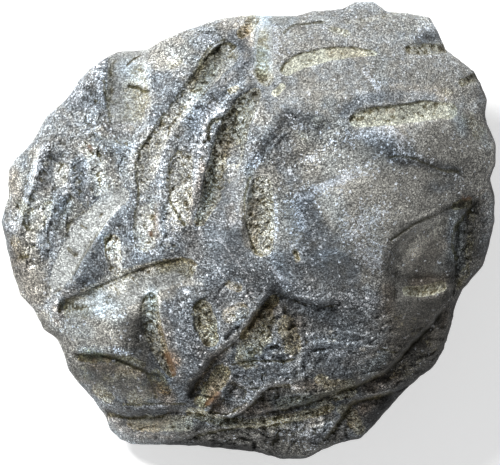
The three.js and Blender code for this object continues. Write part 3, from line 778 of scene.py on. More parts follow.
def warp(places):
    """The same places on slightly crumpled paper."""
    shift = np.zeros_like(places)
    for number, (size, strength) in enumerate(WARP):
        for axis in range(2):
            seed = WARP_SEED + 4 * number + axis
            shift[:, axis] += strength * rock_noise(flat(places), size, seed, octaves=2)
    return places + shift


def relief(name, places):
    height, size, seed, octaves, fading, folded = RELIEF[name]
    return height * MM * rock_noise(places, size * MM, seed, octaves, fading, folded)


def chips(name, places):
    tilt, size, seed = CHIPS[name]
    return tilt * facets(places, size * MM, seed)


def strongest(brushes, places, softness):
    """The strongest of the brushes' strokes at each place; softness is a share of their half width."""
    amount = np.zeros(len(places))
    for half_width, strength, paths in brushes:
        for path in paths:
            touch = stroke(path, half_width, places, half_width * softness)
            amount = np.maximum(amount, strength * touch)
    return amount


print("kinds of relief:", len(RELIEF), "kinds of chips:", len(CHIPS))


# %% Sculpt
def sculpt(places):
    """Height of the top at each place, and what the finish needs to know there."""
    drawn = warp(places)
    ground = flat(places)
    rough = strongest(ROUGH_GROUND, drawn, GROUND_SOFTNESS)
    bedded = strongest(BEDDED_GROUND, drawn, GROUND_SOFTNESS)
    uneven = 1 - strongest(SMOOTH_GROUND, drawn, GROUND_SOFTNESS)
    height = dome_height(places) + swell_height(drawn) + ledge_height(drawn) + ridge_height(drawn)
    turn = math.radians(BEDDING_TURN)
    along = drawn @ (math.cos(turn), math.sin(turn)) / BEDDING_STRETCH
    layered = np.column_stack([along, drawn @ (-math.sin(turn), math.cos(turn))])
    height += relief("waves", ground) + uneven * relief("bumps", ground)
    height, fill = bore(drawn, height)
    seams = seam_depth(drawn)
    height -= seams
    # the seams' dark lines: dirt and painted shadow
    fill["dirt"] = np.maximum(fill["dirt"], smoothstep(seams / SEAM_FULL))
    grit = fill["amount"] * fill["grit"]
    bare = 1 - fill["amount"]
    height += rough * bare * relief("broken", ground)
    height += uneven * bare * relief("weathered", ground)
    height += bedded * bare * (relief("beds", flat(layered)) + chips("beds", layered))
    chipped = bare * uneven * (CHIPPED + CHIPPED_ROUGH * rough)
    height += chipped * (chips("large", drawn) + chips("small", drawn))
    height += grit * (chips("crumbs", drawn) + relief("crumbs", ground))
    size, seed, octaves, fading = HOLES
    hole_noise = rock_noise(ground, size * MM, seed, octaves, fading)
    height -= grit * HOLE_DEPTH * smoothstep((HOLE_LEVEL - hole_noise) / HOLE_EDGE)
    to_rim = np.linalg.norm(places, axis=1) * (1 / np.maximum(reach, TINY) - 1)
    turned_away = smoothstep(direction @ AWAY_FROM_LIGHT / FULLY_AWAY)
    fill["shade"] = turned_away * smoothstep(1 - to_rim / RIM_SHADE)
    lean = np.clip(1 - to_rim / RIM_ROUND, 0, 1)
    height -= RIM_ROUND * (1 - np.sqrt(1 - lean**2))
    return height, fill, rough, uneven, drawn


height, fill, rough, uneven, drawn = sculpt(places)
print("top, mm:", round(height.max() / MM, 1), "rim, mm:", np.round(
    [height[~on_top].min() / MM, height[~on_top].max() / MM], 1))

# %% [markdown]
# ## Side and underside
# The hidden side is plain broken limestone. It leans in towards the underside, and the growth layers
# show on it as low, broken steps. The outline's small corners fade out on the way down, because
# carried straight down they would stand on the side as flutes. The underside is flat, so that the
# stone rests.

# %% Side and underside
SIDE_LEAN = 0.17                 # share of the radius
FOOT_ROUND = 3 * MM
LAMINA = 8.5 * MM                # thickness of a growth layer
EVENED = 12                      # degrees to each side over which the outline's corners even out
CORNERS_GONE = 0.45              # how far down they have gone
FOOT_BEGINS = 0.75               # how far down the rounding of the foot starts
LAYER_STEP = 1.2 * MM            # how far a growth layer stands back from the next
LAYER_WAVES = 1.3                # how far the layers wander, in layers
LAYER_WAVES_SIZE, LAYER_GAPS_SIZE = 24 * MM, 16 * MM
LAYER_GAP, LAYER_GAP_EDGE = 0.25, 0.4
SIDE_GRAIN_MEAN = 0.4 * MM
FACES_SQUASH, GRAIN_SQUASH = (1, 1, 1.5), (1, 1, 2.5)    # they are wider than high
LEAN_CURVE = 1.5                 # the side leans in more and more on the way down

rim = direction * radius[:, None]
z = np.where(on_top, height, height * (1 - down))
beside = np.column_stack([rim, z])
inside = np.sin(np.pi * np.minimum(down, 1))
bearings = np.radians(np.arange(-180.0, 180.0))
around = radius_at(bearings)
even_radius = np.mean([np.roll(around, turn) for turn in range(-EVENED, EVENED + 1)], axis=0)
corner = radius - np.interp(angle, bearings, even_radius, period=2 * math.pi)
layer = (z / LAMINA + LAYER_WAVES * rock_noise(beside, LAYER_WAVES_SIZE, seed=21, octaves=2)) % 1
gaps = rock_noise(beside, LAYER_GAPS_SIZE, seed=23, octaves=2)
layer *= smoothstep((gaps + LAYER_GAP) / LAYER_GAP_EDGE)
inset = SIDE_LEAN * radius * down**LEAN_CURVE
inset += FOOT_ROUND * smoothstep((down - FOOT_BEGINS) / (1 - FOOT_BEGINS))
inset += corner * smoothstep(down / CORNERS_GONE)
inset += inside * LAYER_STEP * layer
inset += inside * np.abs(relief("side faces", beside * FACES_SQUASH))
inset += inside * (relief("side grain", beside * GRAIN_SQUASH) + SIDE_GRAIN_MEAN)
inward = np.sqrt(np.clip((1 - share) / (1 - TOP_SHARE - SIDE_SHARE), 0, 1))
side_places = direction * ((radius - inset) * inward)[:, None]
corners = np.where(on_top[:, None], np.column_stack([places, height]),
                   np.column_stack([side_places, z]))
stone.data.vertices.foreach_set("co", corners.ravel())
stone.data.update()
print("lowest corner, mm:", round(corners[:, 2].min() / MM, 3))

# %% [markdown]
# ## Skin
# The finish follows the shape. The sponge's own skin is blue-grey where it is fresh and brown-grey on
# the worn dome. The same strokes paint light and shade: a painted highlight on crests that face the
# lamp, and painted shade on slopes and below ledges that turn away from it. It is all painted as
# strokes on the same plan drawing, one over the other, and kept as numbers at every corner for the
# material to read.

# %% Skin
# lightness in stops against the bare stone, and blueness (0 brown-grey, 1 blue-grey)
# the crest skin is a painted highlight on crests that face the lamp, shaded is painted shade, and dark is
# partly dark skin and partly painted shade
SKINS = {
    "light": (0.52, 0.2),
    "crest": (1.0, 0.3),
    "dusty": (0.75, 0.1),
    "brown_dark": (-0.5, 0.0),
    "neutral": (0.05, 0.35),
    "brown": (0.0, 0.0),
    "blue": (-0.1, 0.9),
    "deep_blue": (-0.63, 0.9),
    "dark": (-1.5, 0.6),
    "shaded": (-0.8, -0.2),
}
BARE_SKIN = (0.0, 0.65)
# path, half width, softness, skin, strength
SKIN_STROKES = [
    ((60, 200, 100, 140, 180, 60, 230, 30), 50, 20, "neutral", 0.7),
    ((290, 40, 350, 70, 420, 60, 440, 110), 55, 25, "light", 0.6),
    ((310, 190, 360, 180, 440, 200), 62, 25, "brown", 1.0), ((345, 205, 360, 240), 40, 20, "brown", 1.0),
    ((330, 190, 355, 210, 375, 235), 24, 16, "dusty", 0.35),
    ((322, 190, 345, 180, 368, 170), 7, 5, "dusty", 0.6), ((278, 145, 288, 178), 12, 8, "deep_blue", 0.6),
    ((304, 200, 312, 225), 9, 6, "deep_blue", 0.9), ((300, 262, 345, 268), 14, 9, "deep_blue", 0.8),
    ((255, 275, 270, 285), 14, 8, "deep_blue", 0.8), ((305, 312, 345, 325), 14, 9, "dark", 0.8),
    ((300, 385, 340, 378, 400, 362, 430, 330), 17, 9, "dark", 0.85),
    ((420, 300, 430, 330, 400, 350), 18, 9, "shaded", 0.9),
    ((448, 215, 452, 250, 450, 280, 440, 300), 9, 6, "dark", 0.8),
    ((440, 150, 470, 180), 22, 12, "brown_dark", 0.8), ((262, 402, 300, 402, 340, 385), 8, 5, "dark", 0.7),
    ((335, 405, 325, 425, 310, 445), 9, 5, "dark", 0.7), ((288, 315, 292, 345), 8, 5, "dark", 0.6),
    ((80, 372, 115, 374), 10, 6, "shaded", 0.6), ((70, 312, 84, 308), 7, 4, "shaded", 0.8),
    ((100, 150, 100, 178), 16, 9, "dusty", 0.7), ((45, 200, 34, 245), 11, 7, "dusty", 0.8),
    ((204, 106, 200, 140, 196, 180), 7, 4, "dusty", 0.9), ((180, 196, 174, 226), 9, 5, "dusty", 0.6),
    ((150, 300, 120, 314), 12, 6, "dusty", 0.9), ((200, 284, 150, 294), 10, 6, "dusty", 0.9),
    ((132, 322, 142, 345, 150, 366), 11, 5, "dark", 1.0), ((290, 308, 291, 345), 7, 4, "dark", 0.7),
    ((300, 264, 350, 266), 11, 7, "dark", 0.35), ((310, 222, 328, 246), 13, 8, "deep_blue", 0.7),
    ((365, 130, 398, 134), 9, 5, "dusty", 0.9), ((400, 96, 440, 96), 7, 5, "light", 0.9),
    ((252, 108, 270, 126), 10, 7, "light", 0.7), ((436, 222, 418, 240, 402, 266), 9, 6, "dusty", 0.8),
    ((420, 312, 410, 345, 380, 372), 24, 10, "shaded", 0.9),
    ((465, 205, 474, 230, 470, 265, 450, 290), 13, 7, "dark", 0.6),
    ((190, 372, 184, 398), 8, 5, "dark", 0.7), ((260, 424, 318, 424), 7, 4, "dusty", 0.8),
    ((44, 322, 60, 345), 10, 5, "shaded", 0.9), ((78, 96, 96, 102), 12, 7, "deep_blue", 0.8),
    ((110, 58, 106, 78), 6, 4, "deep_blue", 0.9), ((178, 440, 250, 446), 9, 5, "dark", 0.7),
    ((222, 340, 205, 362), 7, 4, "deep_blue", 0.8), ((210, 285, 216, 298), 8, 5, "deep_blue", 0.8),
    ((440, 262, 452, 275), 10, 6, "dark", 0.7), ((244, 60, 236, 38), 9, 6, "deep_blue", 0.9),
    ((430, 188, 450, 184), 8, 6, "dark", 0.7), ((470, 205, 480, 240, 470, 280), 12, 7, "shaded", 0.8),
    ((215, 385, 240, 395, 215, 408), 9, 6, "deep_blue", 0.9),
    ((190, 430, 230, 440, 330, 448), 12, 7, "shaded", 0.6),
    ((143, 322, 141, 345, 148, 362, 160, 378), 10, 5, "dark", 0.85),
    ((218, 52, 208, 68), 9, 5, "dark", 0.2), ((98, 70, 106, 100), 6, 4, "deep_blue", 0.8),
    # painted highlights along crests that face the lamp
    ((214, 84, 197, 98, 184, 116, 173, 132), 2.5, 1.5, "crest", 0.8),
    ((206, 130, 201, 150, 198, 170, 195, 190), 4, 2.5, "crest", 0.7),
    ((152, 104, 149, 124), 2.5, 1.5, "crest", 0.5), ((38, 150, 34, 170, 31, 190), 3, 2, "crest", 0.9),
    ((85, 160, 91, 172, 89, 186), 2.5, 1.5, "crest", 0.8), ((158, 296, 161, 312), 2.5, 1.5, "crest", 0.5),
    ((160, 60, 178, 52), 12, 8, "dusty", 0.9), ((36, 152, 30, 180), 6, 4, "dusty", 1.0),
    ((20, 175, 14, 200), 9, 5, "dusty", 0.8), ((95, 335, 75, 340), 22, 9, "dusty", 0.8),
    ((160, 286, 195, 282), 12, 7, "dusty", 0.9), ((75, 318, 120, 314, 150, 298), 9, 6, "dusty", 0.9),
    ((405, 250, 430, 232), 9, 6, "dusty", 0.5), ((150, 215, 146, 245), 12, 6, "dusty", 0.6),
    ((222, 100, 204, 150, 193, 200), 6, 4, "blue", 0.6), ((415, 270, 420, 320), 36, 12, "shaded", 0.75),
    ((462, 215, 462, 260, 450, 320), 10, 5, "shaded", 0.8), ((487, 200, 486, 250), 9, 4, "blue", 0.6),
    ((470, 130, 480, 160), 18, 8, "brown", 0.7),
    ((261, 158, 269, 138, 279, 122, 290, 114), 7, 4, "dark", 0.6),
    ((288, 116, 305, 118, 322, 124), 9, 6, "dark", 0.3),
    ((345, 112, 360, 102, 395, 98, 430, 98), 6, 5, "deep_blue", 0.7),
    ((370, 135, 385, 145, 400, 152), 10, 8, "deep_blue", 0.6),
    ((392, 157, 420, 163, 456, 172), 6, 4, "dark", 0.75),
    ((372, 140, 400, 148, 412, 156), 9, 6, "dark", 0.4), ((419, 41, 428, 37, 436, 35), 6, 2, "dark", 0.75),
    ((300, 196, 310, 214, 316, 226), 10, 6, "dark", 0.25), ((314, 268, 336, 262), 9, 5, "dark", 0.5),
    ((264, 274, 276, 282), 8, 5, "dark", 0.5), ((308, 308, 340, 312), 13, 6, "dark", 0.6),
    ((185, 305, 186, 340, 190, 385), 20, 8, "deep_blue", 0.75),
    ((300, 305, 350, 312, 330, 330, 300, 345), 24, 14, "deep_blue", 0.8),
    ((340, 350, 380, 345), 26, 14, "deep_blue", 0.6),
    ((125, 212, 106, 244, 86, 278), 13, 4, "deep_blue", 0.5),
    ((210, 250, 235, 290, 220, 270), 26, 12, "blue", 0.9),
    ((190, 110, 205, 150, 198, 190), 12, 6, "deep_blue", 0.55),
    ((240, 60, 225, 90, 210, 110), 12, 6, "blue", 0.7), ((165, 85, 180, 100, 160, 118), 12, 6, "blue", 0.7),
    ((250, 90, 232, 106, 222, 122, 216, 140, 209, 160, 204, 182, 200, 205), 5, 3, "dark", 0.7),
    ((251, 180, 246, 200, 244, 222, 248, 245), 4, 2.5, "shaded", 0.7),
    ((130, 320, 135, 345, 128, 362), 14, 6, "shaded", 0.8), ((98, 335, 80, 335), 18, 8, "brown", 0.8),
    ((30, 290, 25, 270), 18, 8, "brown", 0.8), ((18, 180, 14, 200), 12, 5, "light", 0.6),
    ((15, 222, 18, 210), 8, 5, "light", 0.6), ((60, 200, 50, 225, 45, 245), 9, 5, "deep_blue", 0.7),
    ((80, 165, 80, 190, 92, 200), 8, 4, "deep_blue", 0.8), ((48, 160, 42, 180), 8, 4, "dark", 0.6),
    ((72, 206, 62, 226), 8, 5, "brown", 0.8), ((100, 225, 125, 200), 8, 4, "blue", 0.6),
    ((140, 258, 175, 253), 8, 4, "deep_blue", 0.5), ((262, 345, 250, 358), 10, 5, "deep_blue", 0.7),
    ((240, 370, 290, 372), 14, 7, "deep_blue", 0.6), ((265, 398, 290, 400, 320, 392), 9, 5, "shaded", 0.7),
    ((90, 360, 120, 372, 140, 385), 18, 8, "shaded", 0.7),
    ((110, 408, 150, 411, 190, 410), 6, 4, "dark", 0.75), ((125, 427, 160, 430), 9, 6, "blue", 0.7),
    ((240, 440, 300, 440), 14, 6, "shaded", 0.8), ((390, 370, 430, 340), 20, 8, "shaded", 0.85),
    ((370, 410, 390, 395), 24, 8, "dark", 0.8), ((320, 430, 300, 425), 14, 6, "blue", 0.5),
    ((35, 262, 30, 270), 7, 4, "brown", 0.8),
]

lightness = np.full(len(drawn), BARE_SKIN[0])
blueness = np.full(len(drawn), BARE_SKIN[1])
for path, half_width, softness, skin, strength in SKIN_STROKES:
    touch = strength * stroke(path, half_width, drawn, softness)
    lightness += touch * (SKINS[skin][0] - lightness)
    blueness += touch * (SKINS[skin][1] - blueness)
print("skin strokes:", len(SKIN_STROKES))

# %% [markdown]
# ## Stains and worn places
# Silt and dirt also lie outside the borings, thin over the skin, and in some borings the fill has
# fallen out. A stain covers what is there with a fill of its own kind. A worn place takes fill away.

# %% Stains and worn places
# fill or dirt that lies over the rest: path, half width, softness, fill, strength
STAINS = [
    ((16, 240, 24, 258), 8, 6, "tan", 0.6), ((264, 318, 256, 340, 246, 356), 13, 8, "olive_pale", 0.8),
    ((286, 322, 292, 346), 11, 7, "olive_pale", 0.7), ((274, 300, 262, 316, 246, 334), 6, 4, "brown", 0.9),
    ((222, 372, 212, 386, 202, 402), 9, 6, "brown", 0.8), ((220, 378, 208, 398), 4, 3, "tan", 0.8),
    ((84, 292, 104, 283), 4, 3, "tan", 0.7),
    ((118, 279, 140, 272, 162, 266, 184, 263), 7, 4, "olive", 0.85),
    ((184, 268, 189, 272), 6, 3, "olive_pale", 1.0), ((112, 290, 134, 284), 7, 5, "crust", 0.9),
    ((66, 306, 84, 312), 8, 4, "tan", 0.8), ((62, 300, 62, 312), 4, 3, "brown", 0.8),
    ((216, 52, 204, 66), 6, 4, "brown", 0.7), ((261, 74, 266, 80), 8, 4, "tan", 0.9),
    ((294, 37, 300, 37), 6, 4, "tan", 0.4), ((156, 374, 166, 390), 8, 5, "brown", 0.6),
    ((135, 424, 185, 424), 9, 5, "film", 0.8), ((400, 320, 430, 345, 400, 372), 14, 9, "olive", 0.4),
    ((92, 370, 148, 388), 18, 9, "olive", 0.35), ((345, 410, 356, 424), 8, 5, "olive_pale", 0.7),
    ((298, 132, 304, 140), 5, 4, "tan", 0.6), ((314, 122, 322, 124), 6, 4, "tan", 0.5),
    ((86, 356, 120, 360, 140, 366), 8, 5, "olive", 0.6), ((466, 118, 478, 134), 9, 6, "olive_pale", 0.5),
    ((462, 84, 474, 80), 5, 3, "tan", 0.6), ((264, 318, 250, 344), 9, 6, "tan", 0.7),
    ((110, 282, 150, 272), 10, 6, "crust", 0.8), ((222, 52, 212, 72), 8, 6, "olive_pale", 0.7),
    ((136, 92, 132, 124), 13, 7, "tan", 0.7),
    ((192, 412, 216, 420, 250, 424, 290, 418, 330, 408), 6, 4, "olive_pale", 0.8),
    ((282, 404, 320, 398, 350, 392), 7, 5, "olive_pale", 0.7), ((82, 358, 108, 358), 5, 4, "brown", 0.9),
    ((118, 374, 136, 368), 6, 4, "tan", 0.7), ((132, 398, 138, 402), 6, 4, "tan", 0.8),
    ((98, 390, 108, 398), 7, 4, "tan", 0.8), ((20, 205, 28, 212), 7, 4, "tan", 0.7),
    ((30, 230, 40, 222, 50, 205), 9, 7, "tan", 0.5), ((74, 210, 86, 204), 7, 5, "brown", 0.4),
    ((90, 146, 96, 160), 9, 6, "crust", 0.7), ((62, 168, 62, 180), 7, 4, "pale", 0.8),
    ((98, 190, 112, 184), 8, 5, "pale", 0.8), ((320, 378, 330, 384, 350, 384), 6, 4, "olive_pale", 0.8),
    ((352, 415, 360, 430), 7, 4, "olive_pale", 0.7), ((130, 88, 145, 95, 146, 106), 6, 4, "tan", 0.7),
    ((173, 66, 180, 62), 6, 4, "tan", 0.6), ((330, 30, 345, 36), 5, 3, "tan", 0.5),
    ((470, 122, 478, 126), 6, 4, "tan", 0.7), ((443, 92, 450, 94), 5, 4, "tan", 0.7),
    ((232, 92, 236, 90), 4, 3, "tan", 0.7), ((470, 208, 469, 250, 460, 286), 6, 4, "olive", 0.5),
    ((199, 72, 198, 90), 6, 4, "brown", 0.5),
]
# bare places in the borings: path, half width, softness, strength
WORN_AWAY = [
    ((112, 130, 146, 132), 10, 8, 0.8), ((60, 296, 60, 312), 5, 3, 0.8), ((236, 150, 226, 190), 8, 6, 0.6),
    ((160, 180, 150, 196, 140, 200), 8, 5, 0.6), ((186, 80, 178, 94), 5, 4, 0.6),
]

for path, half_width, softness, kind, strength in STAINS:
    touch = strength * stroke(path, half_width, drawn, softness)
    takes = touch / np.maximum(touch + fill["amount"] * (1 - touch), TINY)
    for name, value in zip(("paleness", "warmth", "grit"), FILLS[kind]):
        fill[name] += takes * (value - fill[name])
    fill["amount"] = np.maximum(fill["amount"], touch)
for path, half_width, softness, strength in WORN_AWAY:
    fill["amount"] *= 1 - strength * stroke(path, half_width, drawn, softness)
print("stains:", len(STAINS), "worn places:", len(WORN_AWAY))

# %% [markdown]
# ## Flecks and rust
# White crystals show where the layers' edges broke, as flecks and short hairlines. Iron has rusted
# in two borings at the front. Where two strokes cross, the stronger one counts.

# %% Flecks and rust
MARK_SOFTNESS = 0.6              # of a stroke's half width
# white crystal flecks and rust: half width, strength, and the brush's paths
FLECKS = [
    (1.2, 1.0, [(208, 413, 228, 416, 243, 409, 256, 396)]),
    (1.5, 1.1, [(214, 262, 224, 276, 234, 290), (102, 118, 112, 134, 124, 146, 136, 152)]),
    (1.5, 1.2, [(200, 228, 203, 238, 212, 241, 222, 238), (222, 240, 232, 256, 242, 268, 252, 280)]),
    (1.5, 1.3, [(372, 160, 382, 152)]), (2, 1.0, [(275, 196, 276, 236), (228, 374, 214, 398)]),
    (2, 1.1, [(232, 383, 260, 388, 272, 384, 298, 387)]),
    (2, 1.3, [(306, 158, 314, 162), (418, 31, 436, 28)]), (2, 1.4, [(288, 170, 290, 176)]),
    (2.5, 1.2, [(157, 204, 160, 216, 157, 232, 153, 246)]), (2.5, 1.3, [(363, 72, 370, 82, 378, 92)]),
    (3, 0.8, [(86, 165, 88, 185)]),
    (3, 0.9, [(214, 84, 197, 98, 184, 116, 173, 132, 166, 148, 163, 166), (140, 408, 168, 405)]),
    (3, 1.0, [(320, 192, 345, 180, 366, 172)]), (3, 1.2, [(270, 268, 284, 280)]),
    (3, 1.3, [(372, 126, 392, 130, 404, 142)]), (3, 1.4, [(334, 182, 350, 176), (116, 350, 124, 354)]),
    (3, 1.6, [(184, 290, 188, 291)]), (4, 0.8, [(372, 80, 378, 90), (70, 185, 66, 192)]),
    (4, 0.9, [(455, 178, 460, 186), (206, 130, 201, 150, 198, 170, 195, 190)]),
    (4, 1.0, [(104, 74, 101, 90), (222, 222, 240, 224), (330, 354, 344, 352), (306, 160, 316, 156)]),
    (5, 0.4, [(300, 130, 290, 150)]), (5, 0.5, [(140, 200, 148, 240)]), (5, 0.6, [(395, 152, 420, 160)]),
    (5, 0.7, [(190, 175, 196, 190)]),
    (5, 0.8, [(388, 160, 430, 160), (290, 120, 300, 130), (137, 220, 140, 245, 155, 252),
        (18, 222, 10, 228)]),
    (5, 0.9, [(250, 358, 270, 360)]),
    (5, 1.0, [(400, 155, 410, 158), (224, 112, 214, 118, 206, 126, 198, 134),
        (45, 148, 36, 170, 26, 205)]),
    (5, 1.1, [(271, 30, 276, 54)]), (5, 1.2, [(318, 190, 330, 184)]), (6, 0.7, [(120, 350, 126, 356)]),
    (6, 0.9, [(345, 136, 375, 136), (150, 225, 170, 238, 175, 225), (252, 150, 256, 165)]),
    (6, 1.0, [(300, 198, 318, 190, 345, 176), (166, 232, 172, 222)]), (7, 0.5, [(330, 140, 345, 146)]),
    (7, 0.6, [(280, 280, 310, 298)]), (7, 0.8, [(320, 190, 345, 178, 365, 170)]),
    (7, 0.9, [(198, 130, 196, 150)]), (7, 1.0, [(74, 98, 88, 80, 102, 64), (205, 40, 215, 45)]),
    (8, 0.4, [(60, 320, 120, 310)]), (8, 0.5, [(300, 165, 320, 155), (95, 230, 112, 225)]),
    (8, 0.7, [(355, 128, 385, 135, 405, 140)]),
    (8, 0.8, [(340, 300, 380, 300), (300, 425, 316, 440), (240, 60, 250, 70)]),
    (8, 0.9, [(296, 200, 304, 226)]), (8, 1.1, [(380, 132, 398, 140)]), (9, 0.5, [(185, 322, 186, 350)]),
    (9, 0.9, [(186, 330, 196, 350)]), (9, 1.0, [(215, 108, 205, 120)]),
    (10, 0.5, [(240, 380, 265, 390), (290, 435, 310, 445)]), (10, 1.0, [(360, 250, 374, 262)]),
    (12, 0.6, [(90, 130, 100, 150)]), (14, 0.6, [(365, 215, 372, 240, 374, 262)]),
    (14, 0.9, [(350, 230, 376, 214)]), (16, 0.4, [(180, 310, 190, 360)]),
    (18, 0.4, [(230, 270, 260, 290)]), (18, 0.5, [(300, 200, 305, 240)]),
    (20, 0.45, [(130, 120, 150, 150)]),
]
RUST = [
    (1.5, 0.5, [(156, 216, 157, 230)]), (2.5, 0.5, [(384, 114, 392, 112)]),
    (2.5, 0.8, [(151, 233, 152, 235)]), (3, 0.3, [(400, 238, 404, 246)]),
    (3, 0.6, [(90, 147, 92, 150), (463, 198, 468, 197)]), (3, 0.8, [(219, 394, 212, 400, 207, 404)]),
    (4, 0.35, [(95, 360, 112, 362)]), (4, 0.7, [(168, 355, 174, 372)]), (5, 0.25, [(160, 380, 167, 394)]),
]

flecks = strongest(FLECKS, drawn, MARK_SOFTNESS)
rust = strongest(RUST, drawn, MARK_SOFTNESS)
print("brushes for flecks:", len(FLECKS), "for rust:", len(RUST))
